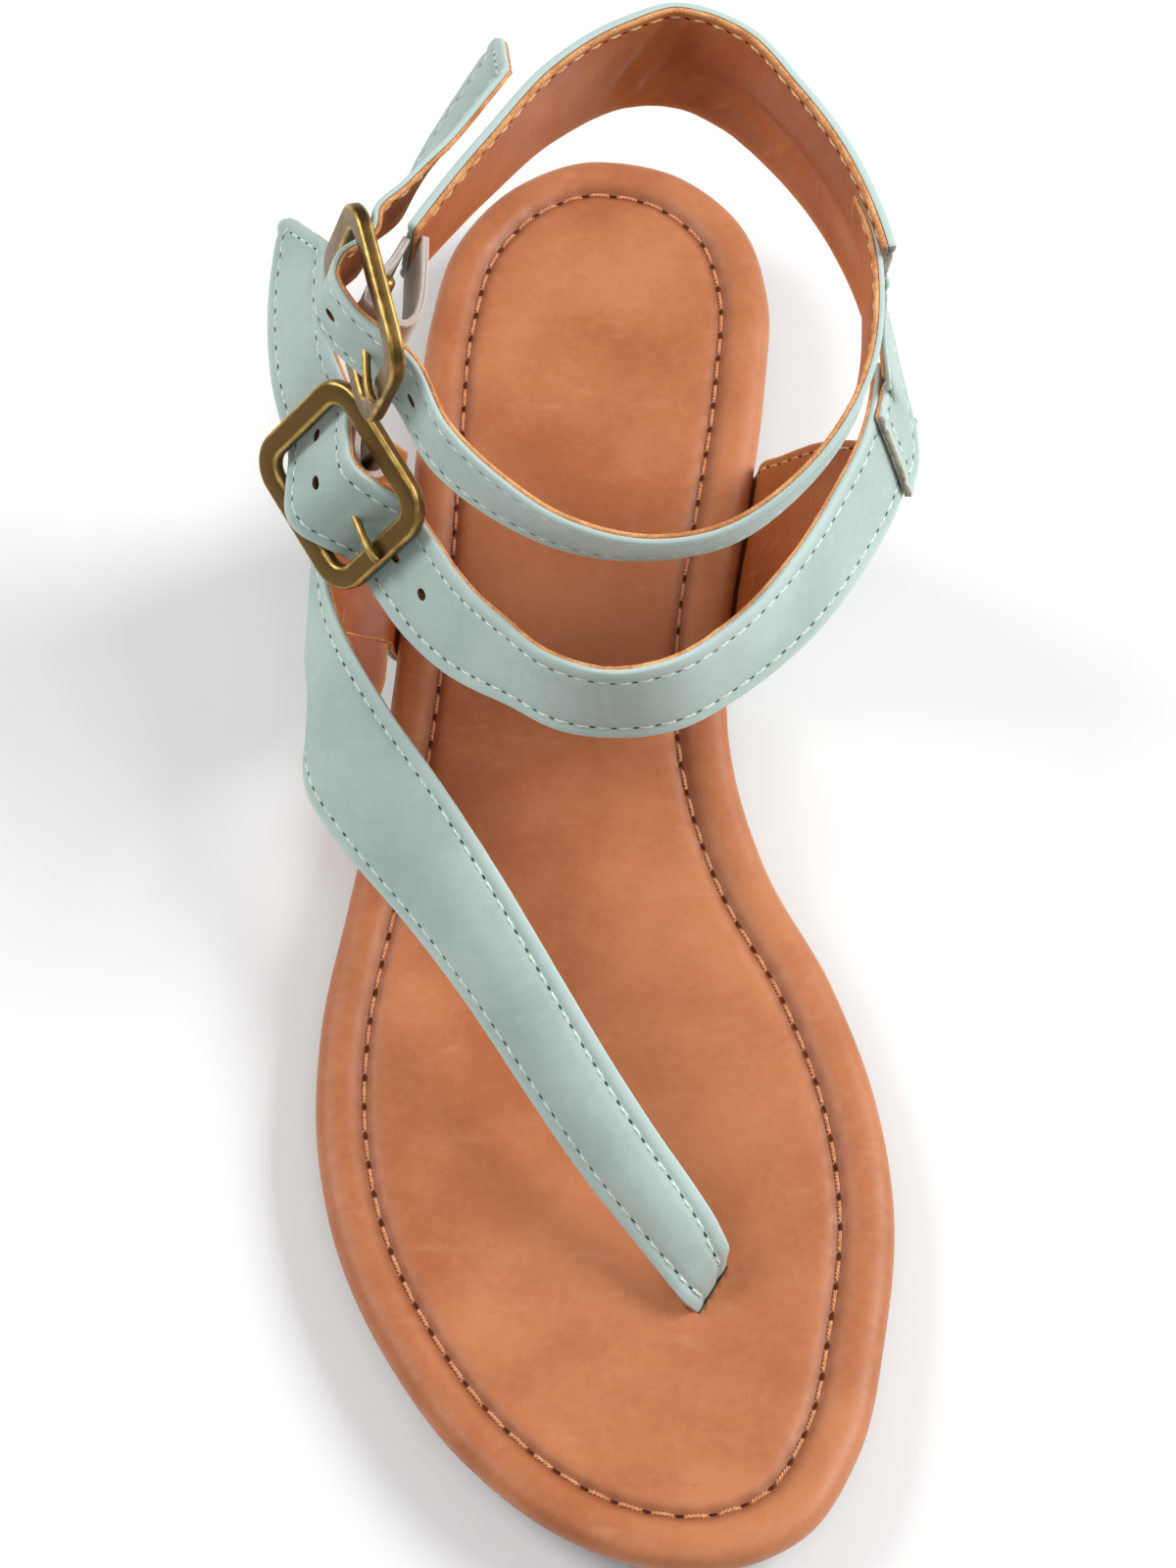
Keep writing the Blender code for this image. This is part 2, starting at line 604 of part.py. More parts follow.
def foot_of(side, y):
    """Points of a quarter where it turns from the seam round the footbed's edge."""
    curve = half_outline(side, FOOT_POINTS)
    at = int(np.argmin(np.abs(curve[:, 1] - y)))
    edge = curve[at]
    along = unit(curve[at + 1] - curve[at - 1])
    outward = np.array([along[1], -along[0]])
    if outward[0] * edge[0] < 0:
        outward = -outward
    seam = profile(BED_PROFILE, y) - FOOTBED_THICK
    return [np.array([*(edge + outward * out), seam + up]) for out, up in QUARTER_FOOT]


def footbed(mat):
    """Padded footbed with a rounded rim and a shallow dish."""
    loop = outline()
    rings = []
    for distance, up in BED_RIM:
        moved = inset(loop, distance)
        rings.append([(x, y, profile(BED_PROFILE, y) + up) for x, y in moved])

    def under(y, share, width):
        return profile(BED_PROFILE, y) - FOOTBED_THICK

    def over(y, share, width):
        dish = DISH_DEPTH * math.sin(math.pi * share) * min(1.0, width / DISH_WIDTH) ** 2
        return profile(BED_PROFILE, y) + BED_RIM[-1][1] - dish

    return pad("footbed", rings, under, over, mat)


def outsole(mat):
    """Outsole with a flat heel and forefoot, raised arch and toe spring."""
    loop = outline()

    def floor(y, share=0.0, width=0.0):
        return profile(FLOOR_PROFILE, y)

    def top(y, share=0.0, width=0.0):
        return profile(BED_PROFILE, y) - FOOTBED_THICK - FIT_GAP

    rings = []
    for distance, up, base in SOLE_EDGE:
        moved = inset(loop, distance)
        height = top if base else floor
        rings.append([(x, y, height(y) + up) for x, y in moved])
    return pad("outsole", rings, floor, top, mat)


def outer_grid():
    """Toe strap and outer quarter as one grid of middle points."""
    rows = [spline((low, middle, high), OUTER_ACROSS) for high, middle, low in TOE_STRAP]
    for high, middle, y in OUTER_QUARTER:
        rows.append(spline((foot_of(OUTER_SIDE, y)[-1], middle, high), OUTER_ACROSS))
    rows = np.array(rows)
    columns = [spline(rows[:, k], OUTER_SECTIONS) for k in range(rows.shape[1])]
    return np.stack(columns, axis=1)


def outer_flange_grid():
    """Part of the outer quarter that turns under the footbed."""
    rows = []
    for high, middle, y in OUTER_QUARTER[1:-1]:
        feet = foot_of(OUTER_SIDE, y)
        lower = spline((feet[-1], middle, high), OUTER_ACROSS)
        rows.append([*feet, lower[1], lower[2]])
    rows = np.array(rows)
    return np.stack([spline(rows[:, k], FLANGE_SECTIONS) for k in range(rows.shape[1])], axis=1)


def inner_grid(strap):
    """Inner quarter from the seam to the lower strap."""
    rows = []
    for y, middle, run in INNER_QUARTER:
        knee = on_strap(strap, run, KNEE_SHARE, -LAP)
        top = on_strap(strap, run, SEWN_SHARE, -LAP)
        feet = foot_of(INNER_SIDE, y)
        upper = spline((feet[-1], middle, knee, top), INNER_ACROSS)
        rows.append([*feet[:-1], *upper])
    rows = np.array(rows)
    return np.stack([spline(rows[:, k], INNER_SECTIONS) for k in range(rows.shape[1])], axis=1)


def inner_tab_grid(strap):
    """Short tab between the heel strap and the lower strap on the inner side."""
    rows = []
    for run in INNER_TAB_RUNS:
        rows.append([on_strap(strap, run + slant, share, LAP) for share, slant in INNER_TAB_SLANT])
    for front, rear in INNER_TAB:
        front, rear = np.array(front), np.array(rear)
        rows.append([front, (front + rear) / 2, rear])
    rows = np.array(rows)
    return np.stack([spline(rows[:, k], INNER_TAB_SECTIONS) for k in range(3)], axis=1)


def outer_upper(leather):
    """Toe strap, outer quarter and the lower buckle's tab."""
    upper = sheet("upper_outer", outer_grid(), LEATHER_THICK, leather)
    flange = sheet("flange", outer_flange_grid(), FLANGE_THICK, leather)
    tab = sheet("tab", tab_grid(LOWER_BUCKLE, LOWER_TAB, LOWER_TAB_SHIFT), TAB_THICK, leather)
    combine(tab, [slot(LOWER_BUCKLE, leather)], "DIFFERENCE")
    return combine(upper, [flange, tab], "UNION")


def inner_upper(leather):
    """Inner quarter, both ankle straps, heel strap and the tabs sewn to them."""
    lower = lower_grid()
    higher = strap_grid(threaded(UPPER_STRAP, UPPER_BUCKLE, UPPER_THREAD, UPPER_FREE_END), END_SKEW)
    upper = sheet("upper_inner", lower, LEATHER_THICK, leather)
    tab = sheet("tab", tab_grid(UPPER_BUCKLE, UPPER_TAB, 0.0), TAB_THICK, leather)
    combine(tab, [slot(UPPER_BUCKLE, leather)], "DIFFERENCE")
    pieces = [
        sheet("quarter", inner_grid(lower), LEATHER_THICK, leather),
        sheet("inner_tab", inner_tab_grid(lower), LEATHER_THICK, leather),
        sheet("heel_strap", strap_grid(leaned(HEEL_STRAP)), LEATHER_THICK, leather),
        sheet("upper_strap", higher, LEATHER_THICK, leather),
        tab,
    ]
    combine(upper, pieces, "UNION")
    holes = [prong_hole(buckle, leather) for buckle in (LOWER_BUCKLE, UPPER_BUCKLE)]
    return combine(upper, holes, "DIFFERENCE")


def seam_recesses(mat):
    """Room for the quarters between the outsole and the footbed."""
    turned = inner_grid(lower_grid())[:, :RECESS_COLUMNS]
    outer = sheet("outer_recess", widened(outer_flange_grid()), FLANGE_THICK + 2 * FIT_GAP, mat)
    inner = sheet("inner_recess", widened(turned), LEATHER_THICK + 2 * FIT_GAP, mat)
    return [outer, inner]


def widened(grid):
    """Grid grown at its ends by the fit gap."""
    grid = grid.copy()
    grid[0] += FIT_GAP * unit(grid[0] - grid[1])
    grid[-1] += FIT_GAP * unit(grid[-1] - grid[-2])
    grid[:, 0] += FIT_GAP * unit(grid[:, 0] - grid[:, 1])
    return grid


def toe_slot(mat):
    """Slot in the footbed for the end of the toe strap."""
    return sheet("toe_slot", widened(outer_grid()[:TOE_SLOT_SECTIONS]), LEATHER_THICK + 2 * FIT_GAP, mat)


def build():
    """Build every piece of the sandal."""
    clear_scene()
    leather = finish("strap_leather", *LEATHER_FINISH)
    leather_outer = finish("outer_strap_leather", *LEATHER_FINISH)
    lining = finish("footbed_leather", *FOOTBED_FINISH)
    rubber = finish("outsole_rubber", *RUBBER_FINISH)
    outsole_item = combine(outsole(rubber), seam_recesses(rubber), "DIFFERENCE")
    footbed_item = combine(footbed(lining), [*seam_recesses(lining), toe_slot(lining)], "DIFFERENCE")
    pieces = [outsole_item, footbed_item, outer_upper(leather_outer), inner_upper(leather)]
    for word, buckle in (("upper", UPPER_BUCKLE), ("lower", LOWER_BUCKLE)):
        brass = finish(word + "_frame_brass", *BRASS_FINISH)
        wire = finish(word + "_prong_brass", *BRASS_FINISH)
        pieces.append(buckle_frame(word + "_buckle_frame", buckle, brass))
        pieces.append(prong(word + "_buckle_prong", buckle, wire))
    return pieces


build()
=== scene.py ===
"""Looks of a flat ankle strap sandal for the right foot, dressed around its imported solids.

Tables are in millimetres in the shoemaker's frame: the toe points to -Y, the big toe side is +X and
the floor is z = 0. Straps are two layers, dyed leather outside and a tan lining inside.
"""

import logging
import math
from dataclasses import dataclass, field, replace
from enum import Enum
from typing import Sequence, Union

import bmesh
import bpy
import numpy as np
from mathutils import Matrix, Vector, noise


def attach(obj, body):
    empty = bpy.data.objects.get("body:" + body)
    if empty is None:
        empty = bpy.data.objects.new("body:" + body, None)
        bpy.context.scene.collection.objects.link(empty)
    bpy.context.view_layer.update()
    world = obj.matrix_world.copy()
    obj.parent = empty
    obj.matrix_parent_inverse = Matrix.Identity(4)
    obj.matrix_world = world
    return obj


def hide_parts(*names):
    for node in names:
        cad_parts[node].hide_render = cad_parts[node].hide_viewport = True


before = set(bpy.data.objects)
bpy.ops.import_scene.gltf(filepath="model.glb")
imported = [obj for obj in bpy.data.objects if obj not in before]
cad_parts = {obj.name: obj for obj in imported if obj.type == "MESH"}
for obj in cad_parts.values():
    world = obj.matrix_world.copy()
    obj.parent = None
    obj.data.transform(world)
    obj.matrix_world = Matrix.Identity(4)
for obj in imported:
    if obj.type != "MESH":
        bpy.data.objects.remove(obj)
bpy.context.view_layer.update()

Array = np.ndarray
Colour = tuple[float, float, float, float]
Table = tuple[tuple[float, ...], ...]
Socket = bpy.types.NodeSocket
Value = Union[float, tuple, Socket]
Line = tuple[Array, Array]
Piece = bpy.types.Object
Material = bpy.types.Material

LOG = logging.getLogger("sandal")
MM = 0.001
ORIGIN = np.array([-1.95, 0.7, 0.0])
BODY = "root"
FIT_GAP = 0.3
SLIVER = 0.002
STRAP_COLUMNS = 11
STRAP_MIDDLE = STRAP_COLUMNS // 2
CLIP_SHARE = 0.25


class Side(Enum):
    """Side of the foot."""

    OUTER = -1
    INNER = 1


class Edge(Enum):
    """Edge of a leather sheet."""

    LOW = "low"
    HIGH = "high"
    START = "start"
    END = "end"


class Face(Enum):
    """Face of a leather sheet."""

    OUTER = 1
    LINING = -1


def srgb(*screen: float) -> Colour:
    """Return the linear colour of red, green and blue from 0 to 255."""
    shares = [value / 255.0 for value in screen]
    return (*(s / 12.92 if s <= 0.04045 else ((s + 0.055) / 1.055) ** 2.4 for s in shares), 1.0)


def unit(vectors: Array) -> Array:
    """Return vectors scaled to length one."""
    return vectors / np.maximum(np.linalg.norm(vectors, axis=-1, keepdims=True), 1e-9)


def lengths(points: Array) -> Array:
    """Return the run along a polyline at each of its points."""
    steps = np.linalg.norm(np.diff(points[:, :3], axis=0), axis=1)
    return np.concatenate([[0.0], np.cumsum(steps)])


def tangents(points: Array) -> Array:
    """Return the unit directions along a polyline."""
    return unit(np.gradient(points, axis=0))


def bell(distance: Array, width: float) -> Array:
    """Return a soft bump of height one over a distance."""
    return np.exp(-((distance / width) ** 2))


def spline_at(rows: Sequence, shares: Array) -> Array:
    """Smooth curve through rows, spaced by the chords of their first three columns.

    Args:
        rows: control rows, with a place in the first three columns.
        shares: where to read the curve, from 0 at the first row to 1 at the last.

    Returns:
        One row for each share.
    """
    table = np.asarray(rows, float)
    chord = np.linalg.norm(np.diff(table[:, :3], axis=0), axis=1)
    knots = np.concatenate([[0.0], np.cumsum(chord)])
    seg = np.diff(table, axis=0) / chord[:, None]
    slope = np.empty_like(table)
    slope[0] = seg[0]
    slope[-1] = seg[-1]
    if len(table) > 2:
        before = chord[:-1, None]
        after = chord[1:, None]
        slope[1:-1] = (seg[:-1] * after + seg[1:] * before) / (before + after)
        slope[0] = 1.5 * seg[0] - 0.5 * slope[1]
        slope[-1] = 1.5 * seg[-1] - 0.5 * slope[-2]
    run = np.asarray(shares) * knots[-1]
    at = np.clip(np.searchsorted(knots, run, side="right") - 1, 0, len(chord) - 1)
    step = chord[at][:, None]
    f = (run - knots[at])[:, None] / step
    value = table[at] * (2 * f**3 - 3 * f**2 + 1) + table[at + 1] * (3 * f**2 - 2 * f**3)
    return value + step * (slope[at] * (f**3 - 2 * f**2 + f) + slope[at + 1] * (f**3 - f**2))


def spline(rows: Sequence, count: int) -> Array:
    """Return a smooth curve through rows as evenly shared points."""
    return spline_at(rows, np.linspace(0.0, 1.0, count))


def even(points: Array, count: int) -> Array:
    """Return a polyline resampled at even steps."""
    return at_runs(points, np.linspace(0.0, lengths(points)[-1], count))


def at_runs(points: Array, runs: Array) -> Array:
    """Return a polyline's columns read at given runs along it."""
    knots = lengths(points)
    return np.stack([np.interp(runs, knots, points[:, k]) for k in range(points.shape[1])], axis=1)


def loft(rows: Array, count: int) -> Array:
    """Return a grid whose columns are smooth curves through the columns of rows."""
    return np.stack([spline(rows[:, k], count) for k in range(rows.shape[1])], axis=1)


def ripple(points: Array, size: float, seed: float) -> Array:
    """Return soft waves of about -1 to 1 over points, of a size and a seed that shifts them."""
    waves = [noise.noise(Vector(p)) for p in points.reshape(-1, 3) / size + seed]
    return np.array(waves).reshape(points.shape[:-1])


def add_mesh(
    name: str, points: Sequence, faces: list, materials: Sequence = (), links: Sequence = ()
) -> Piece:
    """Make a smooth mesh object in the row frame.

    Args:
        name: name of the piece.
        points: places in millimetres in the shoemaker's frame.
        faces: tuples of point numbers.
        materials: materials for the slots.
        links: pairs of point numbers, for a piece of bare edges.

    Returns:
        The new object, linked to the scene.
    """
    mesh = bpy.data.meshes.new(name)
    mesh.from_pydata(((np.asarray(points, float) - ORIGIN) * MM).tolist(), links, faces)
    for material in materials:
        mesh.materials.append(material)
    mesh.shade_smooth()
    piece = bpy.data.objects.new(name, mesh)
    bpy.context.scene.collection.objects.link(piece)
    return piece


def bake(piece: Piece) -> None:
    """Turn a piece's modifiers into plain mesh.

    Args:
        piece: the object to change.
    """
    bpy.context.view_layer.update()
    shown = piece.evaluated_get(bpy.context.evaluated_depsgraph_get())
    shaped = bpy.data.meshes.new_from_object(shown)
    piece.modifiers.clear()
    old = piece.data
    piece.data = shaped
    bpy.data.meshes.remove(old)


def clear_slivers(piece: Piece) -> None:
    """Split the many-sided faces of a piece and dissolve what has no area.

    Args:
        piece: the object to change.
    """
    shape = bmesh.new()
    shape.from_mesh(piece.data)
    many_sided = [face for face in shape.faces if len(face.verts) > 4]
    bmesh.ops.triangulate(shape, faces=many_sided)
    bmesh.ops.dissolve_degenerate(shape, dist=SLIVER * MM, edges=shape.edges[:])
    shape.to_mesh(piece.data)
    shape.free()


def boolean(piece: Piece, tools: Sequence, operation: str) -> None:
    """Join or cut a piece with tools, which are then removed.

    Args:
        piece: the mesh to change.
        tools: closed meshes.
        operation: UNION or DIFFERENCE.
    """
    for tool in tools:
        step = piece.modifiers.new(tool.name, "BOOLEAN")
        step.operation = operation
        step.solver = "EXACT"
        step.material_mode = "TRANSFER"
        step.object = tool
    bake(piece)
    clear_slivers(piece)
    for tool in tools:
        bpy.data.objects.remove(tool, do_unlink=True)


def run_nodes(piece: Piece, tree: bpy.types.NodeTree, values: dict[str, object]) -> None:
    """Run geometry nodes on a piece and keep the result as plain mesh.

    Args:
        piece: the mesh that the nodes start from.
        tree: the geometry nodes.
        values: what each named input is set to.
    """
    step = piece.modifiers.new(tree.name, "NODES")
    step.node_group = tree
    for item in tree.interface.items_tree:
        if item.in_out == "INPUT" and item.name in values:
            step[item.identifier] = values[item.name]
    bake(piece)


def set_floats(piece: Piece, name: str, values: Array) -> None:
    """Store one number for each point of a piece."""
    layer = piece.data.attributes.new(name, "FLOAT", "POINT")
    layer.data.foreach_set("value", np.asarray(values, np.float32).ravel())


def set_uv(piece: Piece, places: Array) -> None:
    """Store a flat map for a piece.

    Args:
        piece: the object to change.
        places: one place in the map for each point.
    """
    layer = piece.data.uv_layers.new(name="run_map")
    corners = np.empty(len(piece.data.loops), np.int32)
    piece.data.loops.foreach_get("vertex_index", corners)
    layer.data.foreach_set("uv", np.asarray(places, np.float32)[corners].ravel())


def hand_over(piece: Piece, slot: str, *nodes: str) -> Piece:
    """Seat a finished piece on the shoe's body.

    Args:
        piece: the finished mesh.
        slot: the record's material slot; not used.
        nodes: solids that the piece stands for.

    Returns:
        The same piece.
    """
    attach(piece, BODY)
    if nodes:
        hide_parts(*nodes)
    LOG.info("%s: %d faces", piece.name, len(piece.data.polygons))
    return piece


class NodeSet:
    """A node tree while it is put together."""

    def __init__(self, tree: bpy.types.NodeTree) -> None:
        """Keep the tree."""
        self.tree = tree

    def feed(self, socket: Socket, value: Value) -> None:
        """Link a socket to another one, or set its value.

        Args:
            socket: the input.
            value: another socket or a constant.
        """
        if isinstance(value, bpy.types.NodeSocket):
            self.tree.links.new(value, socket)
        else:
            socket.default_value = value

    def add(self, kind: str, settings: Union[dict, None] = None, **inputs: Value) -> bpy.types.Node:
        """Add a node.

        Args:
            kind: node type.
            settings: node properties.
            inputs: socket values or links, with _ for a space in a socket's name.

        Returns:
            The new node.
        """
        node = self.tree.nodes.new(kind)
        for name, value in (settings or {}).items():
            setattr(node, name, value)
        for name, value in inputs.items():
            self.feed(node.inputs[name.replace("_", " ")], value)
        return node

    def math(self, operation: str, first: Value, second: Value = 0.0) -> Socket:
        """Add one sum.

        Args:
            operation: name of the sum.
            first: first term.
            second: second term.

        Returns:
            A socket with the result.
        """
        node = self.add("ShaderNodeMath", {"operation": operation})
        self.feed(node.inputs[0], first)
        self.feed(node.inputs[1], second)
        return node.outputs[0]


class Shader(NodeSet):
    """A node material while it is put together."""

    def __init__(self, name: str) -> None:
        """Start a material with its surface shader and object coordinates.

        Args:
            name: name of the material.
        """
        self.material = bpy.data.materials.new(name)
        self.material.use_nodes = True
        super().__init__(self.material.node_tree)
        self.surface = self.tree.nodes["Principled BSDF"]
        self.place = self.add("ShaderNodeTexCoord").outputs["Object"]

    def stretched(self, scale: tuple[float, float, float]) -> Socket:
        """Return the object coordinates, stretched along each axis."""
        return self.add("ShaderNodeMapping", Vector=self.place, Scale=scale).outputs["Vector"]

    def noise(self, scale: float, detail: float = 3.0, place: Union[Socket, None] = None) -> Socket:
        """Return cloudy noise from 0 to 1, with so many clouds to a metre."""
        source = place or self.place
        return self.add("ShaderNodeTexNoise", Vector=source, Scale=scale, Detail=detail).outputs["Fac"]

    def cells(self, scale: float) -> Socket:
        """Return distances to the nearest pore, with so many pores to a metre."""
        return self.add("ShaderNodeTexVoronoi", Vector=self.place, Scale=scale).outputs["Distance"]

    def ranged(
        self, value: Value, low: float, high: float, first: float = 0.0, last: float = 1.0
    ) -> Socket:
        """Return a value stretched from one range to another and held inside it."""
        ends = {"From_Min": low, "From_Max": high, "To_Min": first, "To_Max": last}
        return self.add("ShaderNodeMapRange", Value=value, **ends).outputs["Result"]

    def mix(self, share: Value, first: Value, second: Value) -> Socket:
        """Blend two colours.

        Args:
            share: share of the second colour.
            first: first colour.
            second: second colour.

        Returns:
            A socket with the blend.
        """
        node = self.add("ShaderNodeMix", {"data_type": "RGBA"})
        for place, value in ((0, share), (6, first), (7, second)):
            self.feed(node.inputs[place], value)
        return node.outputs[2]

    def attribute(self, name: str) -> Socket:
        """Return a number stored on the mesh."""
        return self.add("ShaderNodeAttribute", {"attribute_name": name}).outputs["Fac"]

    def uv_axis(self, axis: int) -> Socket:
        """Return a coordinate of the piece's flat map: 0 runs along it, 1 across."""
        source = self.add("ShaderNodeUVMap", {"uv_map": "run_map"}).outputs[0]
        return self.add("ShaderNodeSeparateXYZ", Vector=source).outputs[axis]

    def bump(self, height: Socket, depth: float, strength: float) -> None:
        """Raise the surface by a share of a height field that is so many millimetres deep."""
        node = self.add("ShaderNodeBump", Height=height, Distance=depth * MM, Strength=strength)
        self.feed(self.surface.inputs["Normal"], node.outputs["Normal"])

    def set(self, **values: Value) -> None:
        """Set the surface shader's sockets, with _ for a space in a socket's name."""
        for name, value in values.items():
            self.feed(self.surface.inputs[name.replace("_", " ")], value)


@dataclass(frozen=True)
class LeatherFinish:
    """Dyed leather: tones that drift into each other, fine grain, pores and a soft gloss."""

    name: str
    light: Colour
    dark: Colour
    # Rim colour, blended in by the rim attribute: a painted highlight along sewn strap edges and painted
    # shade in the footbed's sewn trough.
    rim: Colour
    scuff: Colour
    drift_scale: float
    scuff_share: float
    grain_scale: float
    grain_depth: float
    roughness: tuple[float, float]
    specular: float
    sheen: float
    coat: float

    def material(self) -> Material:
        """Make the finish.

        Returns:
            A material that reads the rim attribute, which paints a highlight near sewn strap edges and shade
            in the footbed's trough.
        """
        shader = Shader(self.name)
        drift = shader.ranged(shader.noise(self.drift_scale, 4.0), 0.36, 0.64)
        tone = shader.mix(drift, self.dark, self.light)
        speck = shader.ranged(shader.noise(self.drift_scale * 14.0, 5.0), 0.3, 0.7, -0.5, 0.5)
        fleck = shader.ranged(shader.math("ADD", drift, speck), 0.0, 1.0)
        tone = shader.mix(0.35, tone, shader.mix(fleck, self.dark, self.light))
        streak = shader.noise(self.drift_scale * 2.2, 6.0, shader.stretched((1.0, 3.2, 1.6)))
        scuffed = shader.ranged(streak, 0.6, 0.78, 0.0, self.scuff_share)
        tone = shader.mix(scuffed, tone, self.scuff)
        # Painted light: the rim attribute blends in the rim colour, a painted highlight near sewn strap edges
        # and painted shade in the footbed's trough.
        tone = shader.mix(shader.attribute("rim"), tone, self.rim)
        grain = shader.noise(self.grain_scale, 4.0)
        pores = shader.ranged(shader.cells(self.grain_scale * 0.6), 0.0, 0.45)
        height = shader.math("ADD", grain, shader.math("MULTIPLY", pores, 0.35))
        low, high = self.roughness
        shine = shader.math("ADD", streak, shader.math("MULTIPLY", grain, 0.3))
        gloss = shader.ranged(shine, 0.4, 0.9, low, high)
        shader.bump(height, self.grain_depth, 0.6)
        shader.set(Base_Color=tone, Roughness=gloss, Specular_IOR_Level=self.specular)
        shader.set(Sheen_Weight=self.sheen, Sheen_Roughness=0.5, Coat_Weight=self.coat, Coat_Roughness=0.35)
        return shader.material


@dataclass(frozen=True)
class RawFinish:
    """Cut leather edge: short fibres across the cut."""

    name: str
    light: Colour
    dark: Colour
    fibre_scale: float

    def material(self) -> Material:
        """Make the finish.

        Returns:
            The material.
        """
        shader = Shader(self.name)
        fibre = shader.noise(self.fibre_scale, 5.0)
        clump = shader.noise(self.fibre_scale * 0.12, 2.0)
        share = shader.ranged(shader.math("ADD", fibre, clump), 0.75, 1.25)
        shader.bump(fibre, 0.25, 0.8)
        tone = shader.mix(share, self.dark, self.light)
        shader.set(Base_Color=tone, Roughness=0.85, Specular_IOR_Level=0.2)
        return shader.material


@dataclass(frozen=True)
class ThreadFinish:
    """Waxed sewing thread with a slight sheen."""

    name: str
    light: Colour
    dark: Colour

    def material(self) -> Material:
        """Make the finish.

        Returns:
            The material.
        """
        shader = Shader(self.name)
        share = shader.ranged(shader.noise(1800.0, 3.0), 0.35, 0.65)
        shader.bump(shader.noise(6000.0, 2.0), 0.05, 0.5)
        shader.set(Base_Color=shader.mix(share, self.dark, self.light), Roughness=0.55, Sheen_Weight=0.2)
        return shader.material


@dataclass(frozen=True)
class BrassFinish:
    """Antique brass: brown patina on the flats, worn to gold on the rounded edges."""

    name: str
    patina: Colour
    gold: Colour
    bright: Colour

    def material(self) -> Material:
        """Make the finish.

        Returns:
            A material that reads the wear attribute.
        """
        shader = Shader(self.name)
        cloud = shader.noise(420.0, 5.0)
        worn = shader.math("ADD", shader.attribute("wear"), shader.ranged(cloud, 0.3, 0.7, -0.3, 0.3))
        tone = shader.mix(shader.ranged(worn, 0.2, 0.9), self.patina, self.gold)
        tone = shader.mix(shader.ranged(worn, 0.85, 1.3), tone, self.bright)
        scratch = shader.noise(2600.0, 3.0, shader.stretched((1.0, 0.25, 1.0)))
        shader.bump(scratch, 0.03, 0.35)
        shader.set(Base_Color=tone, Metallic=1.0, Roughness=shader.ranged(cloud, 0.3, 0.7, 0.32, 0.48))
        return shader.material


@dataclass(frozen=True)
class ElasticFinish:
    """Woven elastic with fine ribs along it."""

    name: str
    light: Colour
    dark: Colour
    ribs: float

    def material(self) -> Material:
        """Make the finish.

        Returns:
            A material that reads the piece's flat map.
        """
        shader = Shader(self.name)
        wave = shader.math("SINE", shader.math("MULTIPLY", shader.uv_axis(1), self.ribs), 0.0)
        weft = shader.math("SINE", shader.math("MULTIPLY", shader.uv_axis(0), self.ribs * 2.0), 0.0)
        cloth = shader.math("ADD", wave, shader.math("MULTIPLY", weft, 0.25))
        share = shader.ranged(shader.math("ADD", cloth, shader.noise(900.0, 3.0)), -0.9, 1.3)
        shader.bump(cloth, 0.12, 0.7)
        shader.set(Base_Color=shader.mix(share, self.dark, self.light), Roughness=0.6, Sheen_Weight=0.35)
        return shader.material


@dataclass(frozen=True)
class RubberFinish:
    """Moulded sole rubber with a fine pebble and dusty scuffs."""

    name: str
    light: Colour
    dark: Colour
    dust: Colour

    def material(self) -> Material:
        """Make the finish.

        Returns:
            The material.
        """
        shader = Shader(self.name)
        cloud = shader.noise(70.0, 5.0)
        tone = shader.mix(shader.ranged(cloud, 0.35, 0.65), self.dark, self.light)
        dusty = shader.ranged(shader.noise(260.0, 6.0, shader.stretched((1.0, 1.0, 3.0))), 0.6, 0.8, 0.0, 0.3)
        shader.bump(shader.cells(1500.0), 0.12, 0.5)
        shader.set(Base_Color=shader.mix(dusty, tone, self.dust), Specular_IOR_Level=0.3)
        shader.set(Roughness=shader.ranged(cloud, 0.3, 0.7, 0.55, 0.75))
        return shader.material


@dataclass(frozen=True)
class PlainFinish:
    """Matt surface with faint clouds, for the floor, the needle holes and the punched holes; the dark tones
    of the holes are painted shade.
    """

    name: str
    light: Colour
    dark: Colour
    scale: float

    def material(self) -> Material:
        """Make the finish.

        Returns:
            The material.
        """
        shader = Shader(self.name)
        share = shader.ranged(shader.noise(self.scale, 2.0), 0.3, 0.7)
        tone = shader.mix(share, self.dark, self.light)
        shader.set(Base_Color=tone, Roughness=0.9, Specular_IOR_Level=0.1)
        return shader.material


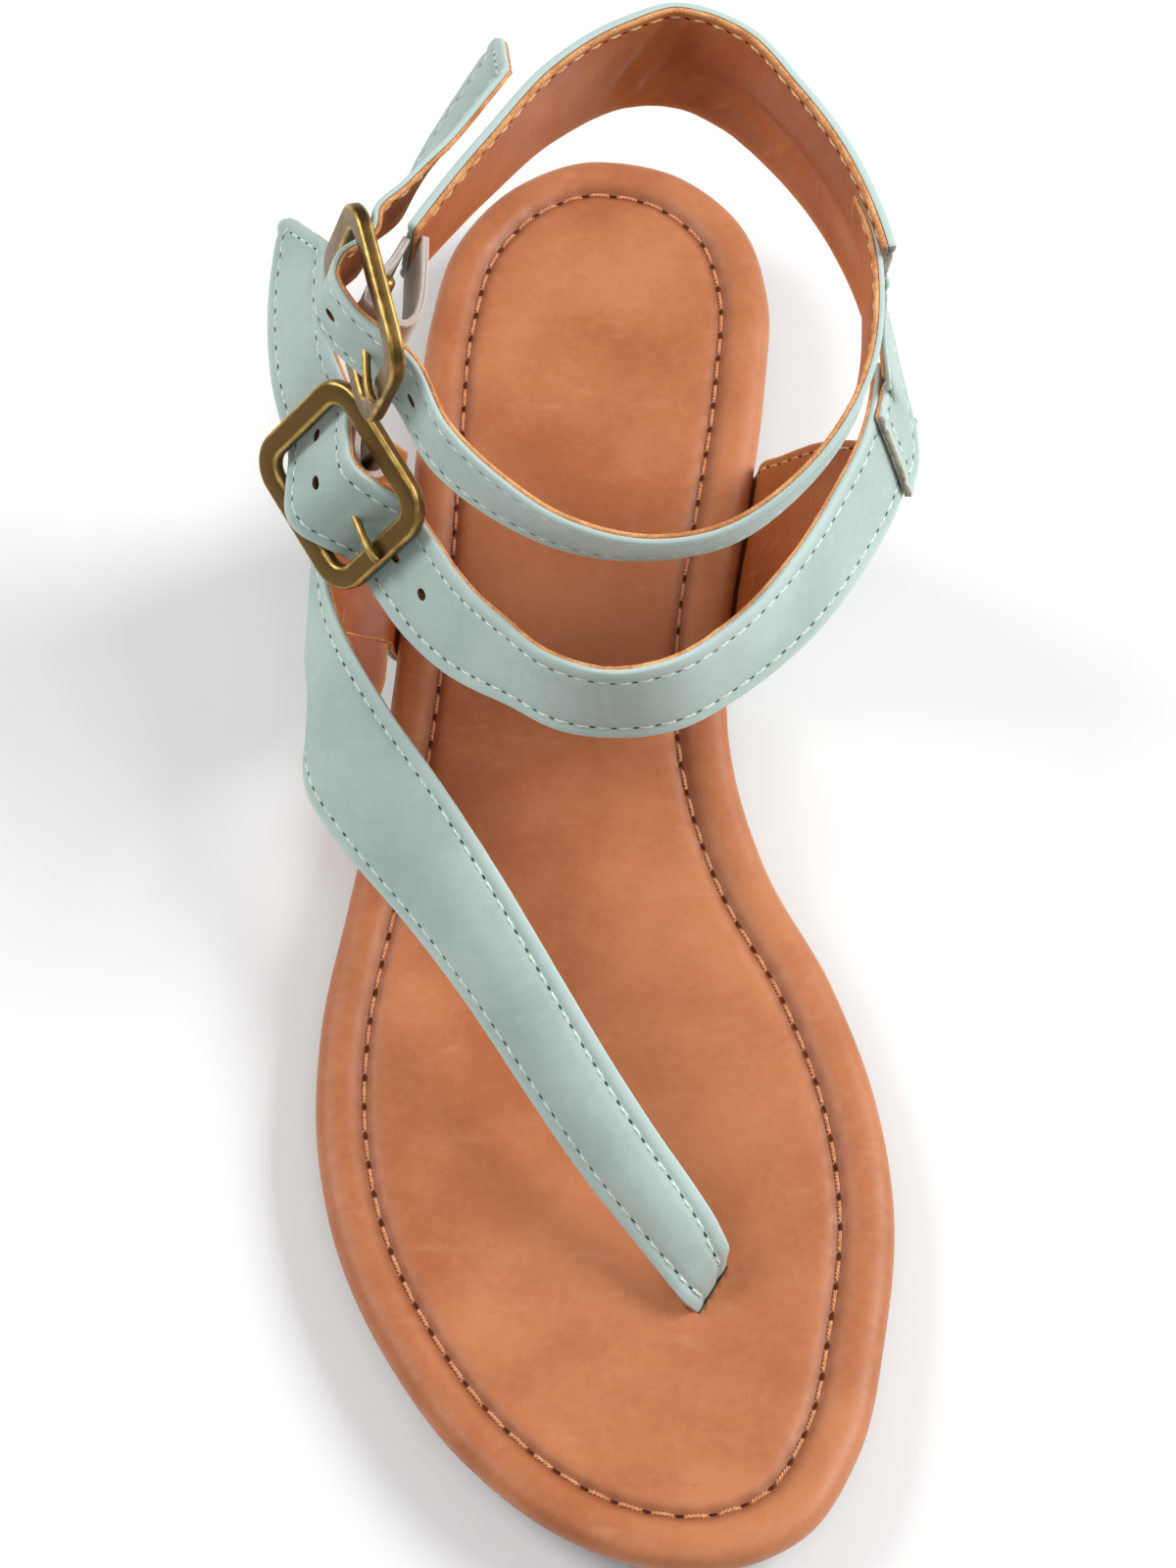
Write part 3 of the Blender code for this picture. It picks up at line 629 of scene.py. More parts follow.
class Finishes:
    """Every material of the sandal, made once."""

    def __init__(self) -> None:
        """Make the materials."""
        # Strap and lining rim colours are lighter than the leather: a painted highlight along the sewn edges.
        self.strap = LeatherFinish(
            "strap_leather", light=srgb(176, 194, 188), dark=srgb(157, 177, 171), rim=srgb(184, 202, 198),
            scuff=srgb(192, 206, 199), drift_scale=42.0, scuff_share=0.4, grain_scale=2600.0,
            grain_depth=0.06, roughness=(0.5, 0.72), specular=0.3, sheen=0.1, coat=0.0,
        ).material()
        self.lining = LeatherFinish(
            "strap_lining", light=srgb(184, 106, 56), dark=srgb(160, 82, 36), rim=srgb(200, 128, 72),
            scuff=srgb(202, 134, 86), drift_scale=55.0, scuff_share=0.35, grain_scale=2300.0,
            grain_depth=0.05, roughness=(0.36, 0.55), specular=0.35, sheen=0.0, coat=0.06,
        ).material()
        # The footbed's rim colour is dark: painted shade in the sewn trough.
        self.footbed = LeatherFinish(
            "footbed_leather", light=srgb(190, 121, 79), dark=srgb(168, 98, 58), rim=srgb(116, 58, 29),
            scuff=srgb(204, 142, 102), drift_scale=48.0, scuff_share=0.3, grain_scale=2100.0,
            grain_depth=0.05, roughness=(0.42, 0.6), specular=0.36, sheen=0.05, coat=0.04,
        ).material()
        self.raw_tan = RawFinish(
            "lining_cut_edge", srgb(236, 178, 122), srgb(190, 120, 70), 2400.0
        ).material()
        self.raw_grey = RawFinish(
            "strap_cut_edge", srgb(188, 180, 166), srgb(128, 120, 106), 2400.0
        ).material()
        # Dark line in the notch between the two layers: painted shade.
        self.notch_shade = RawFinish("layer_notch_shade", srgb(122, 92, 62), srgb(70, 52, 38), 1800.0).material()
        self.pale_thread = ThreadFinish(
            "pale_thread", srgb(232, 240, 232), srgb(196, 210, 202)
        ).material()
        self.lining_thread = ThreadFinish(
            "lining_thread", srgb(240, 208, 160), srgb(208, 164, 112)
        ).material()
        self.tan_thread = ThreadFinish("tan_thread", srgb(224, 158, 110), srgb(186, 116, 70)).material()
        # Needle holes are dark spots: painted shade where the thread dives into the leather.
        self.strap_hole_shade = PlainFinish(
            "strap_needle_hole_shade", srgb(84, 98, 94), srgb(48, 60, 58), 900.0
        ).material()
        self.footbed_hole_shade = PlainFinish(
            "footbed_needle_hole_shade", srgb(96, 42, 18), srgb(62, 26, 10), 900.0
        ).material()
        # Walls of punched holes are dark: painted shade inside the holes.
        self.punched = PlainFinish("punched_hole_shade", srgb(96, 58, 40), srgb(58, 34, 24), 700.0).material()
        self.brass = BrassFinish(
            "buckle_brass", srgb(116, 90, 53), srgb(172, 140, 76), srgb(220, 192, 124)
        ).material()
        self.elastic = ElasticFinish(
            "tab_elastic", srgb(222, 210, 202), srgb(170, 156, 146), 90.0
        ).material()
        self.rubber = RubberFinish(
            "outsole_rubber", srgb(98, 66, 46), srgb(74, 48, 33), srgb(128, 98, 76)
        ).material()
        self.floor = PlainFinish(
            "studio_floor", srgb(246, 246, 245), srgb(243, 243, 242), 6.0
        ).material()


@dataclass(frozen=True)
class Last:
    """Plan and heights that the sole, the footbed and the quarters share."""

    # Outline seen from above, toe tip to heel back: x, y.
    outer_side: Table = (
        (13.4, -124.0), (3.5, -122.6), (-6.3, -118.4), (-20.0, -107.5), (-31.0, -92.8),
        (-39.4, -75.5), (-43.5, -57.0), (-43.5, -37.0), (-40.0, -17.0), (-34.8, 12.0),
        (-32.2, 40.0), (-30.8, 68.0), (-29.1, 91.0), (-24.6, 108.0), (-14.2, 120.4), (-0.8, 125.4),
    )
    inner_side: Table = (
        (13.4, -124.0), (21.5, -122.6), (29.0, -118.6), (37.0, -106.6), (41.8, -88.0), (44.0, -69.0),
        (42.0, -50.0), (35.8, -30.4), (26.0, -10.7), (20.8, 9.0), (20.8, 31.0), (24.0, 52.0),
        (27.6, 78.0), (28.5, 97.0), (24.4, 111.6), (13.4, 122.2), (-0.8, 125.4),
    )
    # Height of the footbed's rim along the foot: y, z.
    bed_profile: Table = (
        (-130.0, 15.8), (-124.0, 15.0), (-100.0, 12.2), (-74.0, 10.9), (-37.0, 10.6), (-10.0, 11.8),
        (12.0, 13.9), (45.0, 16.2), (74.0, 17.0), (130.0, 17.0),
    )
    # Height of the walking surface along the foot: y, z.
    floor_profile: Table = (
        (-130.0, 6.8), (-124.0, 5.6), (-104.0, 1.6), (-84.0, 0.0), (2.0, 0.0), (16.0, 3.8),
        (50.0, 4.2), (60.0, 0.0), (118.0, 0.0), (126.0, 0.9),
    )
    # Section of a quarter where it turns round the footbed: out of the outline, above the seam.
    quarter_foot: Table = ((-9.0, -1.3), (-2.2, -1.3), (0.35, -0.35), (1.35, 2.0), (1.6, 4.2))
    footbed_thick: float = 5.5
    curve_points: int = 2400
    side_points: int = 800

    def half(self, side: Side, count: int) -> Array:
        """Trace one side of the outline.

        Args:
            side: which side.
            count: how many points.

        Returns:
            Even points from toe tip to heel back.
        """
        table = self.outer_side if side is Side.OUTER else self.inner_side
        rows = np.array([(x, y, 0.0) for x, y in table])
        start = np.array([[2 * rows[0, 0] - rows[1, 0], rows[1, 1], 0.0]])
        stop = np.array([[2 * rows[-1, 0] - rows[-2, 0], rows[-2, 1], 0.0]])
        curve = spline(np.concatenate([start, rows, stop]), self.curve_points)
        first = np.argmin(np.linalg.norm(curve - rows[0], axis=1))
        last = np.argmin(np.linalg.norm(curve - rows[-1], axis=1))
        return even(curve[first:last + 1], count)[:, :2]

    def outline(self, count: int) -> Array:
        """Return the closed outline: toe tip, outer side, heel back, inner side."""
        half = count // 2 + 1
        return np.concatenate([self.half(Side.OUTER, half), self.half(Side.INNER, half)[::-1][1:-1]])

    def inset(self, loop: Array, distance: Union[float, Array]) -> Array:
        """Move a closed loop inward.

        Args:
            loop: points of the loop.
            distance: how far, for all points or for each.

        Returns:
            The moved loop.
        """
        along = unit(np.roll(loop, -1, axis=0) - np.roll(loop, 1, axis=0))
        outward = np.stack([-along[:, 1], along[:, 0]], axis=1)
        return loop - np.reshape(distance, (-1, 1)) * outward

    def bed(self, y: Array) -> Array:
        """Return the height of the footbed's rim."""
        table = np.asarray(self.bed_profile)
        return np.interp(y, table[:, 0], table[:, 1])

    def floor(self, y: Array) -> Array:
        """Return the height of the walking surface."""
        table = np.asarray(self.floor_profile)
        return np.interp(y, table[:, 0], table[:, 1])

    def foot_of(self, side: Side, y: float) -> list[Array]:
        """Turn a quarter from its seam round the footbed.

        Args:
            side: side of the quarter.
            y: place along the sole.

        Returns:
            The section's points from the seam up.
        """
        curve = self.half(side, self.side_points)
        at = int(np.argmin(np.abs(curve[:, 1] - y)))
        edge = curve[at]
        along = unit(curve[at + 1] - curve[at - 1])
        outward = np.array([along[1], -along[0]])
        if outward[0] * edge[0] < 0:
            outward = -outward
        seam = float(self.bed(edge[1])) - self.footbed_thick
        return [np.array([*(edge + outward * out), seam + up]) for out, up in self.quarter_foot]


@dataclass(frozen=True)
class BucklePlace:
    """Where a buckle sits: its centre, the way to the front and the way up."""

    name: str
    centre: tuple[float, float, float]
    along: tuple[float, float, float]
    upward: tuple[float, float, float]

    def axes(self) -> tuple[Array, Array, Array]:
        """Work out the buckle's own directions.

        Returns:
            Unit directions along, up and outward.
        """
        along = unit(np.array(self.along))
        upward = np.array(self.upward)
        upward = unit(upward - along * np.dot(along, upward))
        return along, upward, np.cross(along, upward)

    def point(self, u: float, v: float, n: float) -> Array:
        """Return a point given in the buckle's own directions."""
        along, upward, outward = self.axes()
        return np.array(self.centre) + u * along + v * upward + n * outward


UPPER_PLACE = BucklePlace("upper_buckle", (-35.0, 41.8, 86.2), (0.253, -0.926, -0.279), (0.239, -0.22, 0.946))
LOWER_PLACE = BucklePlace("lower_buckle", (-40.4, 36.0, 49.2), (0.521, -0.804, -0.287), (0.59, 0.096, 0.802))


class GeometryTree(NodeSet):
    """Geometry nodes that turn lines into plain mesh."""

    def __init__(self, name: str, inputs: dict[str, str]) -> None:
        """Start the tree with a curve along each line.

        Args:
            name: name of the tree.
            inputs: name and kind of each input beside the lines.
        """
        super().__init__(bpy.data.node_groups.new(name, "GeometryNodeTree"))
        for label, kind in {"Lines": "Geometry", **inputs}.items():
            self.tree.interface.new_socket(label, in_out="INPUT", socket_type="NodeSocket" + kind)
        self.tree.interface.new_socket("Mesh", in_out="OUTPUT", socket_type="NodeSocketGeometry")
        self.entry = self.add("NodeGroupInput").outputs
        self.curve = self.add("GeometryNodeMeshToCurve", Mesh=self.entry["Lines"]).outputs[0]

    def close(self, *results: Socket) -> None:
        """Hand the finished meshes out of the tree as one.

        Args:
            results: sockets with the meshes.
        """
        both = self.add("GeometryNodeJoinGeometry")
        for result in results:
            self.tree.links.new(result, both.inputs[0])
        self.tree.links.new(both.outputs[0], self.add("NodeGroupOutput").inputs[0])

    def along(self, curve: Socket, radius: Socket, sides: int) -> Socket:
        """Return a closed round bar along a curve, with so many sides."""
        ring = self.add("GeometryNodeCurvePrimitiveCircle", Resolution=sides, Radius=radius).outputs[0]
        return self.add("GeometryNodeCurveToMesh", Curve=curve, Profile_Curve=ring, Fill_Caps=True).outputs[0]

    def plain(self, shapes: Socket, material: Socket) -> Socket:
        """Return shapes as plain mesh in one material."""
        real = self.add("GeometryNodeRealizeInstances", Geometry=shapes).outputs[0]
        return self.add("GeometryNodeSetMaterial", Geometry=real, Material=material).outputs[0]


class StitchTree(GeometryTree):
    """Geometry nodes that lay a twisted stitch on every other point of a seam and a needle hole between."""

    LENGTHS = (
        "Stitch Length", "Strand Radius", "Twist Radius", "Twist Turns", "Dip", "Hole Length", "Hole Width",
        "Hole Height", "Unevenness",
    )
    INPUTS = dict.fromkeys(LENGTHS, "Float") | {"Seed": "Int", "Thread": "Material", "Hole": "Material"}
    STRAND_STEPS = 7
    STRAND_SIDES = 5
    HOLE_SIDES = 8
    HOLE_RINGS = 4

    def __init__(self) -> None:
        """Build the tree."""
        super().__init__("stitch_row", self.INPUTS)
        threads = self.lay(self.strands(), 0, self.entry["Thread"])
        holes = self.lay(self.needle_hole(), 1, self.entry["Hole"])
        self.close(threads, holes)

    def vector(self, x: Value, y: Value, z: Value) -> Socket:
        """Return a vector of three values."""
        return self.add("ShaderNodeCombineXYZ", X=x, Y=y, Z=z).outputs[0]

    def strands(self) -> Socket:
        """Twist two strands that dip at both ends.

        Returns:
            A socket with one stitch.
        """
        spiral = self.add(
            "GeometryNodeCurveSpiral", Resolution=self.STRAND_STEPS, Rotations=self.entry["Twist Turns"],
            Start_Radius=self.entry["Twist Radius"], End_Radius=self.entry["Twist Radius"],
            Height=self.entry["Stitch Length"],
        ).outputs[0]
        back = self.math("MULTIPLY", self.entry["Stitch Length"], -0.5)
        both = self.add("GeometryNodeJoinGeometry")
        for turn in (0.0, math.pi):
            spun = self.add("GeometryNodeTransform", Geometry=spiral, Rotation=(0.0, 0.0, turn)).outputs[0]
            laid = self.add(
                "GeometryNodeTransform", Geometry=spun, Rotation=(0.0, math.pi / 2, 0.0),
                Translation=self.vector(back, 0.0, 0.0),
            ).outputs[0]
            self.tree.links.new(laid, both.inputs[0])
        place = self.add("GeometryNodeInputPosition").outputs[0]
        x = self.add("ShaderNodeSeparateXYZ", Vector=place).outputs[0]
        share = self.math("DIVIDE", self.math("MULTIPLY", x, 2.0), self.entry["Stitch Length"])
        fall = self.math("MULTIPLY", self.math("POWER", self.math("ABSOLUTE", share), 3.0), self.entry["Dip"])
        drop = self.vector(0.0, 0.0, self.math("MULTIPLY", fall, -1.0))
        bent = self.add("GeometryNodeSetPosition", Geometry=both.outputs[0], Offset=drop).outputs[0]
        return self.along(bent, self.entry["Strand Radius"], self.STRAND_SIDES)

    def needle_hole(self) -> Socket:
        """Flatten a ball into a dark spot: painted shade where the thread dives into the leather.

        Returns:
            A socket with one hole.
        """
        ball = self.add(
            "GeometryNodeMeshUVSphere", Segments=self.HOLE_SIDES, Rings=self.HOLE_RINGS, Radius=0.5
        ).outputs[0]
        size = self.vector(self.entry["Hole Length"], self.entry["Hole Width"], self.entry["Hole Height"])
        return self.add("GeometryNodeTransform", Geometry=ball, Scale=size).outputs[0]

    def lay(self, shape: Socket, odd: int, material: Socket) -> Socket:
        """Lay a shape on every other point of a seam.

        Args:
            shape: what is laid.
            odd: 0 for even points, 1 for odd points.
            material: the material of the shapes.

        Returns:
            The laid shapes as plain mesh.
        """
        index = self.add("GeometryNodeInputIndex").outputs[0]
        parity = self.math("MODULO", index, 2.0)
        chosen = parity if odd else self.math("SUBTRACT", 1.0, parity)
        stored = {"data_type": "FLOAT_VECTOR"}
        lift = self.add("GeometryNodeInputNamedAttribute", stored, Name="lift").outputs[0]
        along = self.add("GeometryNodeInputTangent").outputs[0]
        axes = {"primary_axis": "Z", "secondary_axis": "X"}
        turned = self.add(
            "FunctionNodeAxesToRotation", axes, Primary_Axis=lift, Secondary_Axis=along
        ).outputs[0]
        chance = self.add("FunctionNodeRandomValue", {"data_type": "FLOAT"}, Seed=self.entry["Seed"])
        self.feed(chance.inputs[2], -1.0)
        self.feed(chance.inputs[3], 1.0)
        size = self.math("ADD", 1.0, self.math("MULTIPLY", chance.outputs[1], self.entry["Unevenness"]))
        laid = self.add(
            "GeometryNodeInstanceOnPoints", Points=self.curve, Selection=chosen, Instance=shape,
            Rotation=turned, Scale=self.vector(size, 1.0, 1.0),
        ).outputs[0]
        smooth = self.add("GeometryNodeSetShadeSmooth", Geometry=laid).outputs[0]
        return self.plain(smooth, material)


@dataclass(frozen=True)
class Stitching:
    """One kind of sewing, in millimetres."""

    tree: StitchTree
    thread: Material
    hole: Material
    pitch: float
    stitch_length: float
    strand_radius: float
    twist_radius: float
    twist_turns: float
    dip: float
    hole_size: tuple[float, float, float]
    unevenness: float = 0.08
    seed: int = 7

    def sew(self, name: str, lines: Sequence[Line], closed: bool = False) -> Piece:
        """Sew along lines.

        Args:
            name: name of the piece.
            lines: for each line its points and the directions off the leather.
            closed: whether the lines are loops.

        Returns:
            The stitches as one plain mesh.
        """
        points, lifts, links = [], [], []
        for line, lift in lines:
            path = np.concatenate([line, line[:1]]) if closed else line
            away = np.concatenate([lift, lift[:1]]) if closed else lift
            run = lengths(path)[-1]
            count = max(2, 2 * int(round(run / self.pitch)))
            laid = even(np.concatenate([path, away], axis=1), count + 1)
            laid = laid[:-1] if closed else laid
            first = len(points)
            points.extend(laid[:, :3])
            lifts.extend(unit(laid[:, 3:]))
            links.extend((first + k, first + k + 1) for k in range(len(laid) - 1))
            if closed:
                links.append((first + len(laid) - 1, first))
        piece = add_mesh(name, points, [], links=links)
        layer = piece.data.attributes.new("lift", "FLOAT_VECTOR", "POINT")
        layer.data.foreach_set("vector", np.asarray(lifts, np.float32).ravel())
        run_nodes(piece, self.tree.tree, self.values())
        return piece

    def values(self) -> dict[str, object]:
        """Name the tree's inputs.

        Returns:
            The value of each named input, with lengths in metres.
        """
        return {
            "Stitch Length": self.stitch_length * MM, "Strand Radius": self.strand_radius * MM,
            "Twist Radius": self.twist_radius * MM, "Twist Turns": self.twist_turns, "Dip": self.dip * MM,
            "Hole Length": self.hole_size[0] * MM, "Hole Width": self.hole_size[1] * MM,
            "Hole Height": self.hole_size[2] * MM, "Unevenness": self.unevenness, "Seed": self.seed,
            "Thread": self.thread, "Hole": self.hole,
        }


@dataclass(frozen=True)
class Crease:
    """Soft trough across a sheet: its middle, its direction and its sizes in millimetres."""

    run: float
    height: float
    degrees: float
    length: float
    width: float
    depth: float
    face: Face = Face.OUTER

    def drop(self, run: Array, height: Array) -> Array:
        """Sink the sheet.

        Args:
            run: runs along the sheet.
            height: distances from its low edge.

        Returns:
            How far the crease sinks each place.
        """
        turn = math.radians(self.degrees)
        along = (run - self.run) * math.cos(turn) + (height - self.height) * math.sin(turn)
        off = (height - self.height) * math.cos(turn) - (run - self.run) * math.sin(turn)
        return self.depth * bell(off, self.width) * bell(along, self.length / 2)


@dataclass
class LeatherSheet:
    """Two layers of leather about a grid of middle points, with rounded rims and sewn troughs."""

    name: str
    dense: Array
    outer: Material
    # Finish of the notch between the layers: painted shade.
    notch_shade: Material
    raw: Material
    lining: Material
    seams: dict[Edge, float] = field(default_factory=dict)
    lining_seams: dict[Edge, float] = field(default_factory=dict)
    creases: tuple[Crease, ...] = ()
    raw_edges: dict[Edge, Material] = field(default_factory=dict)
    outer_height: float = 0.75
    lining_height: float = 0.75
    rim: float = 0.45
    step: float = 1.1
    seam_depth: float = 0.28
    seam_width: float = 0.55
    rim_rise: float = 0.08
    wave: float = 0.12
    seed: float = 0.0

    # Section of the rim from the outer face to the lining: out, height (both as shares), slot.
    RIM_SECTION = (
        (0.0, 1.0, 0), (0.5, 0.95, 0), (0.85, 0.78, 0), (1.0, 0.5, 0), (1.0, 0.2, 0), (0.9, 0.0, 0),
        (0.62, -0.1, 1), (0.85, -0.2, 2), (1.0, -0.45, 2), (0.9, -0.78, 2), (0.45, -0.96, 2), (0.0, -1.0, 3),
    )
    NEAR_EDGE = (0.0, 0.3, 0.7, 1.1, 1.5, 1.9, 2.3, 2.8, 3.4)
    # Reach of the painted highlight along the sewn edges.
    HIGHLIGHT_REACH = 1.1
    # Slots: outer leather, a dark line of painted shade in the notch between the layers, raw edge, lining,
    # then the edges with a cut of their own.
    RAW_SLOT = 2
    LINING_SLOT = 3
    FIRST_CUT_SLOT = 4
    WAVE_LENGTH = 16.0
    FULL_WIDTH = 12.0
    LINING_SEAM_SHARE = 0.5
    RISE_PLACE = 0.45
    RISE_WIDTH = 0.3
    FRAY_DEPTH = 0.22
    FRAY_LENGTH = 2.2
    FRAY_SEED = 5.0
    FAR = 9.0
    MAP_UNIT = 10.0

    def __post_init__(self) -> None:
        """Work out the fine grid, its directions and its distances from the edges."""
        self.fine = self.refined()
        self.centre = self.fine.shape[1] // 2
        self.normal = unit(np.cross(np.gradient(self.fine, axis=1), np.gradient(self.fine, axis=0)))
        across = np.stack([lengths(section) for section in self.fine]) + self.rim
        along = np.stack([lengths(self.fine[:, k]) for k in range(self.fine.shape[1])], axis=1) + self.rim
        self.distance = {
            Edge.LOW: across, Edge.HIGH: across[:, -1:] + self.rim - across,
            Edge.START: along, Edge.END: along[-1:] + self.rim - along,
        }
        sway = self.wave * ripple(self.fine, self.WAVE_LENGTH, self.seed)
        self.middle = self.fine + self.normal * sway[..., None]
        self.top = self.middle + self.normal * self.lifted(Face.OUTER)[..., None]
        self.under = self.middle - self.normal * self.lifted(Face.LINING)[..., None]

    def spaced(self, length: float, step: float) -> Array:
        """Space points closely near both ends of a length and evenly between.

        Args:
            length: the length.
            step: distance between points in the middle.

        Returns:
            Shares of the length.
        """
        near = np.array(self.NEAR_EDGE) * min(1.0, length / self.FULL_WIDTH) + self.rim
        count = max(2, int(round((length - 2 * near[-1]) / step)))
        middle = np.linspace(near[-1], length - near[-1], count + 1)[1:-1]
        return np.concatenate([near, middle, (length - near)[::-1]]) / length

    def refined(self) -> Array:
        """Lay a fine grid inside the sheet's rim.

        Returns:
            The sheet's middle points.
        """
        runs = lengths(self.dense[:, self.dense.shape[1] // 2])
        targets = self.spaced(runs[-1], self.step) * runs[-1]
        flat = self.dense.reshape(len(self.dense), -1)
        along = np.stack([np.interp(targets, runs, column) for column in flat.T], axis=1)
        along = along.reshape(len(targets), -1, 3)
        widths = np.array([lengths(section)[-1] for section in along])
        shares = self.spaced(float(np.median(widths)), self.step)
        return np.stack([at_runs(section, shares * width) for section, width in zip(along, widths)])

    def lifted(self, face: Face) -> Array:
        """Shape a face with its seams and creases.

        Args:
            face: which face.

        Returns:
            Its height over the middle.
        """
        height = self.outer_height if face is Face.OUTER else self.lining_height
        shape = np.full(self.fine.shape[:2], height)
        for edge, offset in (self.seams if face is Face.OUTER else self.lining_seams).items():
            away = self.distance[edge]
            share = 1.0 if face is Face.OUTER else self.LINING_SEAM_SHARE
            shape -= share * self.seam_depth * bell(away - offset, self.seam_width)
            shape += share * self.rim_rise * bell(away - offset * self.RISE_PLACE, offset * self.RISE_WIDTH)
        for crease in self.creases:
            if crease.face is face:
                shape -= crease.drop(self.distance[Edge.START], self.distance[Edge.LOW])
        return shape

    def outward(self) -> Array:
        """Point out of the sheet.

        Returns:
            The direction out at each rim point.
        """
        rows, cols = rim_loop(*self.fine.shape[:2])
        last_row, last_col = self.fine.shape[0] - 1, self.fine.shape[1] - 1
        way = np.zeros((len(rows), 3))
        for chosen, r_step, c_step in (
            (cols == 0, 0, 1), (cols == last_col, 0, -1), (rows == 0, 1, 0), (rows == last_row, -1, 0),
        ):
            r, c = rows[chosen], cols[chosen]
            way[chosen] += unit(self.fine[r, c] - self.fine[r + r_step, c + c_step])
        return unit(way)

    def build(self) -> Piece:
        """Make the sheet.

        Returns:
            One closed mesh with its rim attribute and flat map.
        """
        rows, cols = self.fine.shape[:2]
        r, c = rim_loop(rows, cols)
        out = self.outward()
        top, under, normal = self.top[r, c], self.under[r, c], self.normal[r, c]
        fray = 1.0 + self.FRAY_DEPTH * ripple(top, self.FRAY_LENGTH, self.seed + self.FRAY_SEED)
        loops = []
        for share, height, slot in self.RIM_SECTION[1:-1]:
            level = top if height > 0 else under
            gap = (height - 1.0) * self.outer_height if height > 0 else (height + 1.0) * self.lining_height
            reach = self.rim * share * (fray if slot == self.RAW_SLOT else 1.0)
            loops.append(level + normal * gap + out * np.reshape(reach, (-1, 1)))
        points = np.concatenate([self.top.reshape(-1, 3), self.under.reshape(-1, 3), *loops])
        faces, slots = self.face_list(rows, cols, r * cols + c)
        materials = [self.outer, self.notch_shade, self.raw, self.lining, *self.raw_edges.values()]
        piece = add_mesh(self.name, points, faces, materials)
        piece.data.polygons.foreach_set("material_index", np.array(slots, np.int32))
        self.store(piece, r, c)
        return piece

    def face_list(self, rows: int, cols: int, rim: Array) -> tuple[list, list]:
        """List the faces of both layers and the rim.

        Args:
            rows: sections along the sheet.
            cols: points across it.
            rim: point numbers of the grid's rim.

        Returns:
            The faces and their material slots.
        """
        half, ring = rows * cols, len(rim)
        faces = layer_faces(rows, cols)
        slots = [0, self.LINING_SLOT] * (len(faces) // 2)
        bands = [rim.tolist()]
        bands += [[2 * half + k * ring + i for i in range(ring)] for k in range(len(self.RIM_SECTION) - 2)]
        bands.append((half + rim).tolist())
        edges = [Edge.START] * (cols - 1) + [Edge.HIGH] * (rows - 1)
        edges += [Edge.END] * (cols - 1) + [Edge.LOW] * (rows - 1)
        cut_slot = {edge: self.FIRST_CUT_SLOT + k for k, edge in enumerate(self.raw_edges)}
        for k, (upper, lower) in enumerate(zip(bands, bands[1:])):
            slot = max(self.RIM_SECTION[k][2], min(self.RIM_SECTION[k + 1][2], self.RAW_SLOT))
            for i, edge in enumerate(edges):
                j = (i + 1) % ring
                faces.append((upper[i], lower[i], lower[j], upper[j]))
                slots.append(cut_slot.get(edge, slot))
        return faces, slots

    def store(self, piece: Piece, r: Array, c: Array) -> None:
        """Store the rim attribute, a painted highlight along the sewn edges, and the flat map on the mesh.

        Args:
            piece: the sheet's mesh.
            r: rows of the rim points.
            c: columns of the rim points.
        """
        unsewn = np.full(self.fine.shape[:2], self.FAR)
        near = np.minimum.reduce([self.distance[edge] for edge in self.seams] or [unsewn])
        # Painted highlight: strongest at the sewn edges and fading inward.
        edge_highlight = bell(near, self.HIGHLIGHT_REACH)
        rims = len(self.RIM_SECTION) - 2
        set_floats(piece, "rim", np.concatenate([edge_highlight.ravel(), edge_highlight.ravel(), np.tile(edge_highlight[r, c], rims)]))
        flat = np.stack([self.distance[Edge.START], self.distance[Edge.LOW]], axis=-1) / self.MAP_UNIT
        edge = np.tile(flat[r, c], (rims, 1))
        set_uv(piece, np.concatenate([flat.reshape(-1, 2), flat.reshape(-1, 2), edge]))

    def seam_line(self, edge: Edge, offset: float, face: Face, trims: tuple[float, float]) -> Line:
        """Trace a seam at an even distance from an edge.

        Args:
            edge: edge that the seam follows.
            offset: distance from that edge.
            face: face that carries the stitches.
            trims: distance kept free at the start and at the end of the seam.

        Returns:
            Points of the seam and the directions off the leather.
        """
        level = self.top if face is Face.OUTER else self.under
        lengthwise = edge in (Edge.LOW, Edge.HIGH)
        ends = (Edge.START, Edge.END) if lengthwise else (Edge.LOW, Edge.HIGH)
        free = [self.distance[end][..., None] for end in ends]
        table = np.concatenate([level, self.normal * face.value, *free], axis=-1)
        away = self.distance[edge]
        if not lengthwise:
            table, away = table.transpose(1, 0, 2), away.T
        rows = []
        for section, off in zip(table, away):
            order = np.argsort(off)
            rows.append([np.interp(offset, off[order], column[order]) for column in section.T])
        line = np.array(rows)
        line = line[(line[:, 6] >= trims[0]) & (line[:, 7] >= trims[1])]
        return line[:, :3], unit(line[:, 3:6])

    def lines(self, face: Face, trims: tuple[float, float]) -> list[Line]:
        """Return every seam of a face, with its ends kept free."""
        seams = self.seams if face is Face.OUTER else self.lining_seams
        return [self.seam_line(edge, offset, face, trims) for edge, offset in seams.items()]

    def run_of(self, point: Array) -> float:
        """Return the run along the sheet of the section that passes closest to a point."""
        nearest = np.argmin(np.linalg.norm(self.fine[:, self.centre] - point, axis=1))
        return float(self.distance[Edge.START][nearest, self.centre])

    def spot(self, run: float) -> tuple[Array, Array, Array]:
        """Find a place in the middle of the sheet.

        Args:
            run: run along the sheet.

        Returns:
            The place, the direction along and the direction off the sheet.
        """
        at = int(np.argmin(np.abs(self.distance[Edge.START][:, self.centre] - run)))
        at = min(max(at, 1), len(self.fine) - 2)
        col = int(round(0.5 * (self.fine.shape[1] - 1)))
        along = unit(self.fine[at + 1, col] - self.fine[at - 1, col])
        return self.middle[at, col], along, self.normal[at, col]


